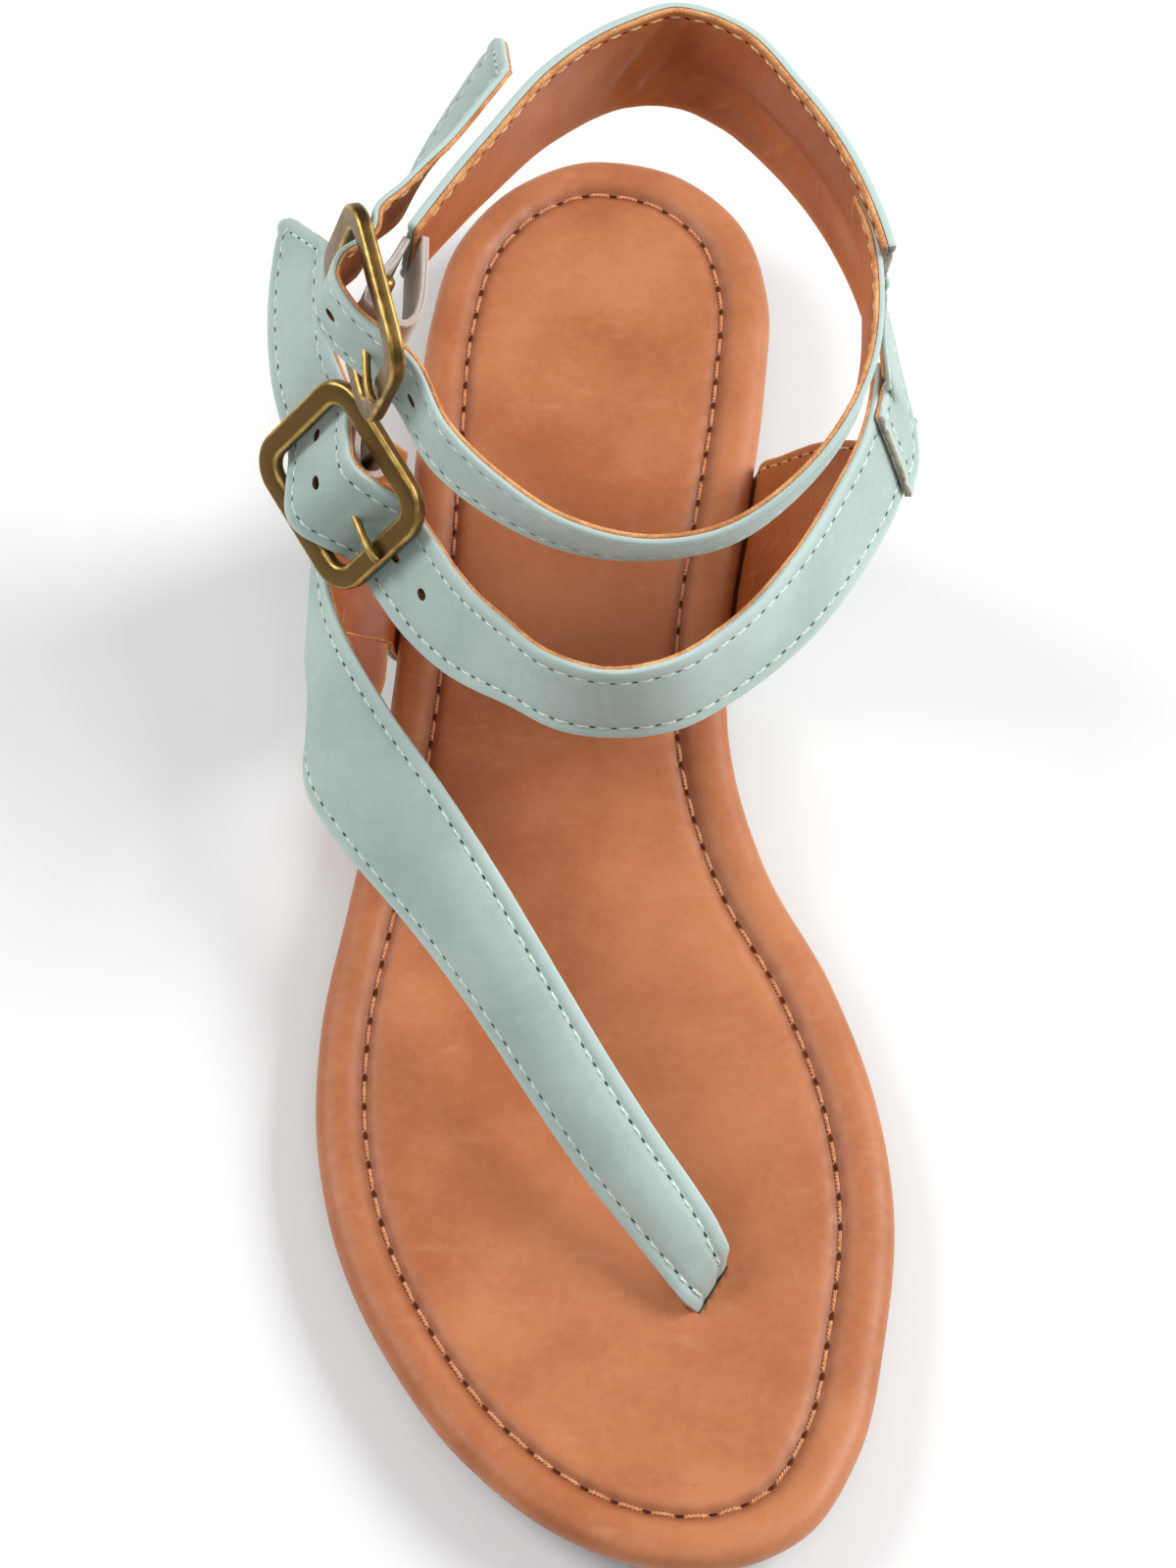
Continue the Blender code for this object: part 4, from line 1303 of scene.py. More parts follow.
def rim_loop(rows: int, cols: int) -> tuple[Array, Array]:
    """Walk round the rim of a grid.

    Args:
        rows: rows of the grid.
        cols: columns of the grid.

    Returns:
        The row and the column of each rim point, in turn.
    """
    loop = [(0, c) for c in range(cols)]
    loop += [(r, cols - 1) for r in range(1, rows)]
    loop += [(rows - 1, c) for c in range(cols - 2, -1, -1)]
    loop += [(r, 0) for r in range(rows - 2, 0, -1)]
    numbers = np.array(loop)
    return numbers[:, 0], numbers[:, 1]


def layer_faces(rows: int, cols: int) -> list:
    """List the faces of two grids that lie over each other.

    Args:
        rows: rows of each grid.
        cols: columns of each grid.

    Returns:
        Faces of the first grid and of the second, which looks the other way, in turn.
    """
    half = rows * cols
    faces = []
    for r in range(rows - 1):
        for c in range(cols - 1):
            a = r * cols + c
            faces.append((a, a + 1, a + cols + 1, a + cols))
            faces.append((half + a, half + a + cols, half + a + cols + 1, half + a + 1))
    return faces


def sheet_tool(name: str, grid: Array, thick: float, material: Material) -> Piece:
    """Make a plain closed sheet that serves as a cutter.

    Args:
        name: name of the cutter.
        grid: middle points in rows and columns.
        thick: thickness in millimetres.
        material: material that the cut faces take.

    Returns:
        The cutter.
    """
    rows, cols = grid.shape[:2]
    normal = unit(np.cross(np.gradient(grid, axis=1), np.gradient(grid, axis=0))) * thick / 2
    points = np.concatenate([(grid + normal).reshape(-1, 3), (grid - normal).reshape(-1, 3)])
    half = rows * cols
    faces = layer_faces(rows, cols)
    r, c = rim_loop(rows, cols)
    rim = (r * cols + c).tolist()
    for a, b in zip(rim, rim[1:] + rim[:1]):
        faces.append((a, half + a, half + b, b))
    return add_mesh(name, points, faces, [material])


def tube(
    name: str, path: Array, across: Array, radii: Array, sides: int, materials: Sequence
) -> Piece:
    """Make a round bar along a path that stays square to one direction.

    Args:
        name: name of the bar.
        path: middle points.
        across: direction that the path stays square to.
        radii: radius at each middle point.
        sides: points round the bar.
        materials: materials for the slots.

    Returns:
        The closed bar.
    """
    side = unit(np.cross(tangents(path), across))
    turns = np.linspace(0.0, 2 * math.pi, sides, endpoint=False)
    rings = [
        centre + radius * (np.cos(turns)[:, None] * normal + np.sin(turns)[:, None] * across)
        for centre, normal, radius in zip(path, side, radii)
    ]
    faces = []
    for r in range(len(path) - 1):
        for k in range(sides):
            a = r * sides + k
            b = r * sides + (k + 1) % sides
            faces.append((a, b, b + sides, a + sides))
    last = (len(path) - 1) * sides
    faces.append(tuple(range(sides - 1, -1, -1)))
    faces.append(tuple(last + k for k in range(sides)))
    return add_mesh(name, np.concatenate(rings), faces, materials)


def widened(grid: Array) -> Array:
    """Grow a grid at its ends and its first column by the fit gap.

    Args:
        grid: middle points in rows and columns.

    Returns:
        The grown grid.
    """
    grown = grid.copy()
    grown[0] += FIT_GAP * unit(grown[0] - grown[1])
    grown[-1] += FIT_GAP * unit(grown[-1] - grown[-2])
    grown[:, 0] += FIT_GAP * unit(grown[:, 0] - grown[:, 1])
    return grown


def filling(ring: Array, start: int, first: int, columns: int) -> tuple[Array, list]:
    """Fill a ring with rows of points.

    Args:
        ring: the ring, which starts at one tip and has as many points on both sides.
        start: number of its first point.
        first: number of the first new point.
        columns: new points in a row.

    Returns:
        The new points, and faces that look down.
    """
    count = len(ring)
    half = count // 2
    shares = np.linspace(0.0, 1.0, columns + 2)[1:-1, None]
    points, rows = [], [[start]]
    for i in range(1, half):
        left, right = ring[i], ring[count - i]
        new = first + len(points)
        rows.append([start + i, *range(new, new + columns), start + count - i])
        points.extend(left + (right - left) * shares)
    rows.append([start + half])
    faces = []
    for a, b in zip(rows, rows[1:]):
        if len(a) == 1:
            faces.extend((a[0], b[k], b[k + 1]) for k in range(len(b) - 1))
        elif len(b) == 1:
            faces.extend((a[k], b[0], a[k + 1]) for k in range(len(a) - 1))
        else:
            faces.extend((a[k], b[k], b[k + 1], a[k + 1]) for k in range(len(a) - 1))
    return np.array(points), faces


def capped(rings: Sequence[Array], columns: int) -> tuple[Array, list, Array, Array]:
    """Join rings into a closed skin with both ends filled.

    Args:
        rings: rings of as many points each, from the underside to the upper side.
        columns: points in a row of the filling.

    Returns:
        The points, the faces, and the numbers of the points that fill the underside and the upper side.
    """
    count = len(rings[0])
    points = np.concatenate(rings)
    faces = []
    for r in range(len(rings) - 1):
        for k in range(count):
            a = r * count + k
            b = r * count + (k + 1) % count
            faces.append((a, a + count, b + count, b))
    ends = []
    for number, upper in ((0, False), (len(rings) - 1, True)):
        more, strips = filling(rings[number], number * count, len(points), columns)
        ends.append(np.arange(len(points), len(points) + len(more)))
        points = np.concatenate([points, more])
        faces.extend([face[::-1] for face in strips] if upper else strips)
    return points, faces, ends[0], ends[1]


@dataclass
class Footbed:
    """Padded footbed with a puffed rim, a sewn trough and a shallow dish."""

    last: Last
    finishes: Finishes
    stitching: Stitching
    points: int = 640
    columns: int = 46
    rim_samples: int = 44
    dish_depth: float = 0.8
    dish_width: float = 45.0
    trough_inset: float = 7.9
    trough_width: float = 1.0
    side_skew: float = 0.05
    pucker: float = 0.16
    sewn_lift: float = 0.12
    # Share of the dark rim colour in the sewn trough: painted shade, also used to lift the seam.
    painted_trough_shade: float = 0.8
    skew_blend: int = 41
    skew_reach: float = 4.0
    upper_from: float = -3.0
    soft_from: float = -4.0
    soft_band: tuple[float, float] = (0.3, 11.0)
    rim_wave: float = 0.1
    rim_wave_length: float = 14.0
    rim_seed: float = 3.0
    dish_wave: float = 0.12
    dish_wave_length: float = 26.0
    dish_seed: float = 9.0
    # Section of the rim: inset from the outline, height above the rim.
    rim: Table = (
        (11.0, -5.5), (2.0, -5.5), (0.9, -5.2), (0.35, -4.6), (0.05, -3.8), (0.0, -2.9), (0.2, -1.9),
        (0.7, -1.05), (1.5, -0.4), (2.5, 0.02), (3.6, 0.2), (4.7, 0.18), (5.6, -0.02), (6.4, -0.42),
        (7.0, -0.85), (7.5, -1.25), (7.9, -1.4), (8.3, -1.25), (8.8, -0.92), (9.5, -0.6), (10.5, -0.42),
        (12.5, -0.4),
    )

    def insets(self, loop: Array, distance: float) -> Array:
        """Move a loop inward, a little more on the inner side.

        Args:
            loop: points of the loop.
            distance: how far.

        Returns:
            The moved loop.
        """
        skew = np.where(np.arange(len(loop)) > len(loop) / 2, 1.0, -1.0) * self.side_skew
        blend = np.ones(self.skew_blend) / self.skew_blend
        smooth = np.convolve(np.tile(skew, 3), blend, mode="same")[len(loop):2 * len(loop)]
        scale = 1.0 + smooth * min(1.0, distance / self.skew_reach)
        return self.last.inset(loop, distance * scale)

    def trough_wave(self, loop: Array) -> Array:
        """Wave the trough so that it sinks at the needle holes.

        Args:
            loop: the line of the trough.

        Returns:
            A value from -1 to 1 for each point.
        """
        run = lengths(np.concatenate([loop, loop[:1]]))
        count = round(run[-1] / self.stitching.pitch)
        return np.cos(2 * math.pi * run[:-1] / run[-1] * count)

    def build(self) -> Piece:
        """Make the footbed without its cut-outs.

        Returns:
            The dressed pad.
        """
        loop = self.last.outline(self.points)
        section = spline([(a, b, 0.0) for a, b in self.rim], self.rim_samples)[:, :2]
        wave = self.trough_wave(self.insets(loop, self.trough_inset))
        rings, trough_shades = [], []
        for distance, up in section:
            moved = self.insets(loop, float(distance))
            share = float(bell(np.array(distance - self.trough_inset), self.trough_width))
            in_trough = share * (up > self.upper_from)
            height = self.last.bed(moved[:, 1]) + up + self.pucker * in_trough * wave
            ring = np.column_stack([moved, height])
            if self.soft_band[0] < distance < self.soft_band[1] and up > self.soft_from:
                ring[:, 2] += self.rim_wave * ripple(ring, self.rim_wave_length, self.rim_seed)
            rings.append(ring)
            # Painted shade in the sewn trough, stored as the rim attribute.
            trough_shades.append(np.full(self.points, in_trough * self.painted_trough_shade))
        points, faces, _, top = capped(rings, self.columns)
        points[top] = self.dished(rings[-1], points[top])
        trough_shades.append(np.zeros(len(points) - len(rings) * self.points))
        piece = add_mesh("footbed_pad", points, faces, [self.finishes.footbed])
        set_floats(piece, "rim", np.concatenate(trough_shades))
        return piece

    def dished(self, ring: Array, filled: Array) -> Array:
        """Sink the middle of the footbed into a shallow, slightly waved dish.

        Args:
            ring: the ring round it.
            filled: points that fill the ring.

        Returns:
            The sunk points.
        """
        half = self.points // 2
        hollow = np.sin(math.pi * np.linspace(0.0, 1.0, self.columns + 2)[1:-1])
        widths = np.linalg.norm(ring[1:half] - ring[:half:-1], axis=1)
        narrow = np.minimum(1.0, widths / self.dish_width) ** 2
        sunk = filled.copy()
        dish = self.dish_depth * np.outer(narrow, hollow**2).ravel()
        sunk[:, 2] = self.last.bed(sunk[:, 1]) + self.rim[-1][1] - dish
        fade = np.tile(hollow, half - 1)
        sunk[:, 2] += self.dish_wave * fade * ripple(sunk, self.dish_wave_length, self.dish_seed)
        return sunk

    def seam(self) -> Line:
        """Trace the stitches in the trough.

        Returns:
            Points of the seam and the directions off the leather.
        """
        loop = self.insets(self.last.outline(self.points), self.trough_inset)
        height = self.last.bed(loop[:, 1]) + dict(self.rim)[self.trough_inset]
        line = np.column_stack([loop, height + self.sewn_lift + self.pucker * self.painted_trough_shade])
        return line, np.tile((0.0, 0.0, 1.0), (len(line), 1))


@dataclass
class Outsole:
    """Moulded outsole with a low heel, a raised arch, toe spring and fine tread ribs."""

    last: Last
    finishes: Finishes
    points: int = 360
    columns: int = 30
    side_points: int = 900
    tread_depth: float = 0.7
    rib_pitch: float = 5.2
    rib_radius: float = 0.7
    rib_margin: float = 7.0
    rib_wave: float = 1.1
    rib_wave_length: float = 14.0
    rib_points: int = 26
    rib_sides: int = 8
    # Flat stretches that carry ribs: first y, last y.
    tread: Table = ((-96.0, 0.0), (62.0, 118.0))
    # Section of the edge: inset from the outline, height, base (0 floor, 1 top).
    edge: Table = (
        (12.0, 0.7, 0), (5.2, 0.7, 0), (4.6, 0.15, 0), (4.0, 0.0, 0), (3.2, 0.05, 0), (2.3, 0.45, 0),
        (1.75, 1.2, 0), (1.35, -2.6, 1), (1.2, -2.0, 1), (1.5, -1.75, 1), (1.2, -1.5, 1), (1.1, -0.9, 1),
        (1.2, -0.35, 1), (1.7, 0.0, 1), (12.0, 0.0, 1),
    )

    def top(self, y: Array) -> Array:
        """Return the height of the sole under the footbed."""
        return self.last.bed(y) - self.last.footbed_thick - FIT_GAP

    def build(self) -> Piece:
        """Make the sole without the recesses for the quarters.

        Returns:
            The dressed sole.
        """
        loop = self.last.outline(self.points)
        rings = []
        for distance, up, base in self.edge:
            moved = self.last.inset(loop, distance)
            height = self.top(moved[:, 1]) if base else self.last.floor(moved[:, 1])
            rings.append(np.column_stack([moved, height + up]))
        points, faces, under, upper = capped(rings, self.columns)
        points[under, 2] = self.last.floor(points[under, 1]) + self.edge[0][1]
        points[upper, 2] = self.top(points[upper, 1])
        return add_mesh("outsole_body", points, faces, [self.finishes.rubber])

    def rib_lines(self) -> list[Array]:
        """Draw waved lines across the flat stretches of the sole.

        Returns:
            The points of each line.
        """
        outer = self.last.half(Side.OUTER, self.side_points)
        inner = self.last.half(Side.INNER, self.side_points)
        lines = []
        for first, last in self.tread:
            for y in np.arange(first, last, self.rib_pitch):
                left = np.interp(y, outer[:, 1], outer[:, 0]) + self.rib_margin
                right = np.interp(y, inner[:, 1], inner[:, 0]) - self.rib_margin
                x = np.linspace(left, right, self.rib_points)
                place = y + self.rib_wave * np.sin(2 * math.pi * (x - left) / self.rib_wave_length)
                lines.append(np.column_stack([x, place, self.last.floor(place) + self.tread_depth]))
        return lines

    def ribs(self) -> Piece:
        """Raise a round rib along each line.

        Returns:
            The ribs as one plain mesh.
        """
        nodes = GeometryTree("tread_ribs", {"Radius": "Float", "Rubber": "Material"})
        bars = nodes.along(nodes.curve, nodes.entry["Radius"], self.rib_sides)
        nodes.close(nodes.plain(bars, nodes.entry["Rubber"]))
        points, links = [], []
        for line in self.rib_lines():
            links.extend((len(points) + k, len(points) + k + 1) for k in range(len(line) - 1))
            points.extend(line)
        piece = add_mesh("tread_ribs", points, [], links=links)
        run_nodes(piece, nodes.tree, {"Radius": self.rib_radius * MM, "Rubber": self.finishes.rubber})
        piece.data.shade_smooth()
        return piece


@dataclass
class ToeUpper:
    """Toe strap that widens into the outer quarter, with the lower buckle's tab."""

    last: Last
    finishes: Finishes
    sections: int = 520
    across: int = 41
    strap_thick: float = 1.5
    flange_thick: float = 1.5
    flange_sections: int = 60
    flange_across: int = 33
    leg_points: int = 7
    slot_share: float = 0.16
    # Toe strap rows from its end in the footbed: upper edge, middle, lower edge.
    toe_rows: tuple = (
        ((17.6, -76.9, 6.6), (15.9, -80.3, 6.4), (14.2, -83.6, 6.4)),
        ((17.8, -76.6, 13.0), (15.6, -80.2, 11.6), (13.4, -84.0, 10.6)),
        ((17.9, -76.0, 18.2), (15.2, -80.0, 15.6), (12.6, -84.0, 12.6)),
        ((16.6, -73.6, 19.8), (13.3, -77.6, 17.4), (10.2, -81.4, 13.9)),
        ((13.4, -69.0, 21.6), (9.2, -73.2, 20.0), (4.5, -74.6, 16.2)),
        ((8.0, -62.0, 25.0), (2.6, -65.4, 23.4), (-2.8, -65.8, 19.2)),
        ((0.7, -51.3, 29.0), (-5.6, -53.4, 27.2), (-11.4, -53.6, 22.2)),
        ((-6.2, -40.1, 32.4), (-13.4, -41.4, 30.2), (-19.2, -41.8, 24.2)),
        ((-16.1, -22.9, 35.0), (-24.4, -24.6, 32.0), (-30.2, -26.6, 25.2)),
        ((-24.8, -8.6, 36.0), (-33.6, -10.4, 32.4), (-39.6, -14.8, 25.2)),
        ((-31.8, 2.2, 36.0), (-40.4, -0.6, 32.0), (-45.2, -5.2, 24.4)),
        ((-37.0, 11.3, 36.0), (-44.6, 8.0, 30.0), (-45.4, 7.6, 20.0)),
    )
    # Outer quarter rows behind the toe strap: upper edge, middle, then the place along the sole.
    quarter_rows: tuple = (
        ((-40.3, 18.6, 35.0), (-46.2, 17.6, 26.5), 20.0),
        ((-42.7, 26.0, 34.6), (-46.0, 26.0, 27.0), 28.0),
        ((-43.6, 34.0, 37.2), (-45.6, 35.6, 28.0), 37.0),
        ((-43.6, 42.0, 43.6), (-44.8, 46.0, 30.0), 46.0),
        ((-42.8, 50.0, 47.4), (-42.6, 54.6, 31.0), 56.0),
        ((-42.0, 56.4, 47.0), (-37.6, 61.0, 29.0), 64.0),
    )
    seams: tuple = ((Edge.LOW, 2.3), (Edge.HIGH, 2.5), (Edge.END, 2.6))
    # Stretches of each seam kept free at its start and its end.
    trims: tuple = ((Edge.LOW, (7.0, 20.0)), (Edge.HIGH, (7.0, 3.0)), (Edge.END, (5.0, 3.0)))

    def grid(self) -> Array:
        """Shape the toe strap and the outer quarter.

        Returns:
            Their middle points.
        """
        rows = [spline((low, middle, high), self.across) for high, middle, low in self.toe_rows]
        for high, middle, y in self.quarter_rows:
            rows.append(spline((self.last.foot_of(Side.OUTER, y)[-1], middle, high), self.across))
        return loft(np.array(rows), self.sections)

    def flange_grid(self) -> Array:
        """Shape the part that turns under the footbed.

        Returns:
            Its middle points.
        """
        rows = []
        for high, middle, y in self.quarter_rows[1:-1]:
            feet = self.last.foot_of(Side.OUTER, y)
            lower = spline((feet[-1], middle, high), self.leg_points)
            rows.append(spline([*feet, lower[1], lower[2]], self.flange_across))
        return loft(np.array(rows), self.flange_sections)

    def sheet(self) -> LeatherSheet:
        """Layer the toe strap.

        Returns:
            Its outer leather and lining.
        """
        made = self.finishes
        return LeatherSheet(
            "toe_strap", self.grid(), made.strap, made.notch_shade, made.raw_tan, made.lining, dict(self.seams),
            seed=11.0,
        )

    def flange(self) -> LeatherSheet:
        """Layer the part of the quarter that is sewn under the footbed.

        Returns:
            Its outer leather and lining.
        """
        made = self.finishes
        half = self.flange_thick / 2
        return LeatherSheet(
            "outer_quarter_flange", self.flange_grid(), made.strap, made.notch_shade, made.raw_tan, made.lining,
            outer_height=half, lining_height=half, rim=0.4, wave=0.0, seed=12.0,
        )


@dataclass
class StrapRoute:
    """Route of an ankle strap: rows to the buckle, through it and behind it."""

    before: Table
    place: BucklePlace
    behind: Table
    thread: Table
    end_skew: float = 6.0
    end_clip: float = 2.4
    end_run: float = 15.0
    sections: int = 700

    def rows(self) -> Array:
        """Join the rows before, in and behind the buckle.

        Returns:
            Place, width and direction across the strap.
        """
        upward = self.place.axes()[1]
        through = [(*self.place.point(u, v, n), width, 0.0) for u, v, n, width in self.thread]
        made = leaned(np.concatenate([self.before, through, self.behind]))
        made[len(self.before):len(self.before) + len(through), 4:] = upward
        return made

    def grid(self) -> Array:
        """Return the middle points of the strap, with a slanted free end."""
        return strap_grid(self.rows(), self.sections, self.end_skew, self.end_clip, self.end_run)


def leaned(rows: Array) -> Array:
    """Turn the lean of strap rows into a direction across the strap.

    Args:
        rows: place, width and lean in degrees.

    Returns:
        Place, width and direction across the strap.
    """
    table = np.asarray(rows, float)
    along = tangents(table[:, :3])
    outward = unit(np.cross((0.0, 0.0, 1.0), along))
    upward = np.cross(along, outward)
    lean = np.radians(table[:, 4])[:, None]
    return np.concatenate([table[:, :4], np.cos(lean) * upward + np.sin(lean) * outward], axis=1)


def strap_grid(
    rows: Array, sections: int, skew: float = 0.0, clip: float = 0.0, end_run: float = 1.0
) -> Array:
    """Work out the middle points of a strap.

    Args:
        rows: place, width and direction across the strap.
        sections: points along the strap.
        skew: how far the free end slants at each edge.
        clip: how much is cut off its point.
        end_run: length over which the end slants.

    Returns:
        A grid of middle points.
    """
    path = even(spline(rows, sections), sections)
    points = path[:, :3]
    along = tangents(points)
    across = path[:, 4:] - along * np.sum(along * path[:, 4:], axis=1, keepdims=True)
    across = unit(across) * path[:, 3:4]
    left = (lengths(points)[-1] - lengths(points))[:, None]
    share = np.clip(1.0 - left / end_run, 0.0, 1.0) ** 2
    columns = []
    for s in np.linspace(0.0, 1.0, STRAP_COLUMNS):
        reach = skew * (1.0 - 2.0 * s) - clip * max(0.0, 1.0 - s / CLIP_SHARE) ** 2
        columns.append(points + across * (s - 0.5) + reach * share * along)
    return np.stack(columns, axis=1)


@dataclass
class AnkleUpper:
    """Inner quarter, both ankle straps, heel strap, inner tab and the buckles' tabs."""

    last: Last
    finishes: Finishes
    lap: float = 1.9
    tab_width: float = 14.0
    tab_thick: float = 1.2
    lower_tab_shift: float = -1.0
    knee_shares: tuple = (-0.03, -0.03, 0.0, 0.16)
    knee_lift: float = -0.9
    sewn_share: float = 0.55
    hole_pitch: float = 9.0
    lining_seam: float = 1.5
    strap_seams: tuple = ((Edge.LOW, 2.2), (Edge.HIGH, 2.8), (Edge.END, 2.4))
    # Stretches of a seam kept free at its start and its end.
    strap_trims: tuple[float, float] = (4.0, 3.0)
    quarter_trims: tuple[float, float] = (12.0, 4.0)
    tab_trims: tuple[float, float] = (2.4, 2.4)
    strap_thick: float = 2.0
    hole_radii: tuple[float, float] = (1.15, 0.85)
    hole_sides: int = 18
    hole_depth: float = 2.0
    slot_run: float = 3.7
    slot_half: float = 2.0
    slot_heights: tuple[float, float] = (-5.2, 3.7)
    heel_sections: int = 500
    leg_points: int = 9
    quarter_across: int = 61
    quarter_sections: int = 160
    turned_in: int = 34
    tab_across: int = 9
    tab_sections: int = 120
    loop_across: int = 5
    loop_sections: int = 240
    # Strap rows: x, y, z, width, lean in degrees (positive leans the top edge outward).
    upper_rows: Table = (
        (37.1, 56.0, 89.3, 16.0, -3.0), (38.9, 49.1, 88.6, 16.0, 0.0), (39.3, 42.0, 87.9, 16.0, 3.0),
        (37.7, 29.4, 86.4, 16.0, 8.0), (27.8, 14.6, 82.2, 16.0, 16.0), (17.8, 8.7, 78.5, 16.0, 22.0),
        (7.6, 7.1, 77.3, 16.0, 24.0), (-4.7, 9.5, 77.0, 16.0, 17.0), (-13.7, 14.6, 77.4, 16.0, 9.0),
        (-23.4, 22.8, 79.6, 16.0, 0.0),
    )
    upper_free: Table = (
        (-29.6, 59.4, 90.2, 16.0, -18.0), (-25.0, 67.0, 91.5, 16.0, -30.0),
        (-19.4, 76.0, 93.0, 16.0, -36.0), (-14.4, 84.0, 94.4, 16.0, -38.0),
    )
    lower_rows: Table = (
        (45.4, 49.2, 55.0, 16.0, -27.0), (44.4, 42.6, 55.4, 16.0, -25.0), (42.4, 34.6, 56.0, 16.0, -25.0),
        (37.9, 24.8, 56.1, 16.0, -24.0), (29.9, 11.7, 56.5, 16.0, -20.0), (19.5, 0.5, 56.9, 16.0, -13.0),
        (10.1, -5.7, 57.1, 16.0, -10.0), (1.1, -6.9, 56.7, 16.0, -7.5), (-6.6, -4.3, 55.3, 16.0, -8.5),
        (-14.7, 3.3, 51.8, 16.0, -14.0), (-23.2, 13.0, 46.7, 16.4, -27.0),
    )
    lower_free: Table = (
        (-46.8, 56.0, 53.6, 16.0, -36.0), (-47.8, 68.0, 55.4, 16.0, -38.0),
        (-46.8, 79.5, 57.0, 16.0, -40.0),
    )
    heel_rows: Table = (
        (-28.4, 51.0, 88.0, 16.0, -11.0), (-24.7, 56.3, 88.4, 18.0, -11.0),
        (-17.3, 65.6, 90.0, 20.0, -10.0), (-7.4, 76.8, 91.2, 20.0, -6.0), (4.0, 83.6, 92.0, 20.0, -1.0),
        (11.1, 84.6, 92.2, 20.0, 7.0), (18.7, 81.2, 92.2, 20.0, 10.0), (27.2, 72.0, 91.3, 20.0, 7.0),
        (34.8, 60.2, 90.1, 20.0, 5.0), (39.0, 50.0, 88.9, 20.0, 4.0), (40.2, 45.6, 88.4, 20.0, 4.0),
    )
    # Creases: run along the strap, height above its low edge, degrees, length, width, depth.
    lower_creases: Table = (
        (80.4, 6.5, 108.0, 10.0, 0.8, 0.26), (78.0, 7.5, 106.0, 14.0, 0.8, 0.34),
        (75.8, 6.5, 110.0, 11.0, 0.7, 0.28), (73.6, 8.0, 108.0, 9.0, 0.7, 0.2),
        (98.0, 8.0, 60.0, 12.0, 1.6, 0.14),
    )
    heel_creases: Table = (
        (74.0, 8.2, 1.0, 40.0, 2.0, 0.95), (52.2, 12.2, 53.0, 15.0, 0.9, -0.5),
        (48.0, 6.4, 84.0, 6.5, 0.9, -0.4), (49.2, 12.8, 54.0, 14.0, 1.1, 0.5),
        (51.6, 4.6, 41.0, 9.0, 0.8, -0.4), (53.4, 8.4, 46.0, 11.0, 0.9, 0.45),
        (58.8, 5.2, 43.0, 7.0, 0.8, -0.3),
    )
    # Inner quarter rows from the rear: place along the sole, middle, run along the lower strap.
    quarter_rows: tuple = (
        (62.0, (36.2, 55.4, 32.0), 1.5), (50.0, (35.4, 47.4, 31.0), 12.0),
        (37.0, (33.0, 35.4, 31.0), 23.0), (24.0, (29.4, 22.0, 33.0), 34.0),
    )
    # Inner tab rows above the lower strap: front edge, rear edge.
    tab_rows: tuple = (
        ((42.4, 41.4, 71.0), (45.0, 51.4, 61.4)), ((41.4, 43.4, 79.0), (42.0, 54.8, 72.6)),
        ((41.6, 47.2, 87.0), (38.9, 56.2, 84.0)),
    )
    tab_runs: tuple = (12.4, 6.4)
    # Slant of the inner tab's lower end: share across the lower strap, shift along it.
    tab_slant: Table = ((1.0, -0.8), (0.5, 0.4), (0.0, 2.0))
    tab_lift: float = 1.7
    # Strap rows in a buckle: run along it, shift across it, height off its plane, width.
    upper_thread: Table = (
        (9.8, 0.0, -2.8, 16.0), (5.2, 0.0, 0.9, 16.0), (0.5, 0.0, 3.8, 16.0), (-3.8, 0.0, 4.8, 16.0),
        (-6.8, 0.0, 2.8, 16.0), (-8.2, 0.0, -0.4, 16.0), (-9.7, 0.0, -2.7, 16.0), (-12.2, 0.0, -3.9, 16.0),
    )
    lower_thread: Table = (
        (13.6, 0.0, -2.7, 16.6), (9.8, -0.3, -2.9, 17.0), (5.2, -0.4, 0.9, 17.3), (0.0, -1.0, 3.4, 18.2),
        (-5.2, -0.4, 0.9, 17.3), (-9.8, -0.3, -3.0, 17.0),
    )
    # Tab loops round a centre bar: run along the buckle, height off its plane.
    upper_loop: Table = (
        (-8.0, -7.4), (-4.6, -4.2), (-1.6, -0.3), (0.0, 0.5), (1.4, -0.1), (2.1, -1.5), (4.2, -2.4),
        (5.0, -3.9), (4.4, -5.3), (2.3, -6.8), (-1.6, -8.3), (-5.0, -9.3), (-7.8, -10.1),
    )
    lower_loop: Table = (
        (-11.0, -7.4), (-6.5, -4.4), (-1.6, -0.3), (0.0, 0.5), (1.4, -0.1), (2.0, -1.5), (1.9, -3.4),
        (0.4, -5.2), (-4.2, -7.4), (-11.2, -9.6),
    )

    def strap(
        self, name: str, grid: Array, seams: dict[Edge, float], seed: float, **more: object
    ) -> LeatherSheet:
        """Layer a strap.

        Args:
            name: name of the strap.
            grid: its middle points.
            seams: distance of each seam from its edge.
            seed: shift of its soft waves.
            more: further fields of the sheet.

        Returns:
            The sheet.
        """
        made = self.finishes
        more.setdefault("lining_seams", {Edge.HIGH: self.lining_seam})
        return LeatherSheet(
            name, grid, made.strap, made.notch_shade, made.raw_tan, made.lining, seams, seed=seed, **more
        )

    def lower_grid(self) -> Array:
        """Return the middle points of the lower ankle strap."""
        return StrapRoute(self.lower_rows, LOWER_PLACE, self.lower_free, self.lower_thread).grid()

    def lower_strap(self) -> LeatherSheet:
        """Layer the lower ankle strap, creased where it bends over the instep.

        Returns:
            The sheet.
        """
        return self.strap(
            "lower_strap", self.lower_grid(), dict(self.strap_seams), seed=21.0,
            creases=[Crease(*row) for row in self.lower_creases],
            raw_edges={Edge.START: self.finishes.strap}, step=0.8,
        )

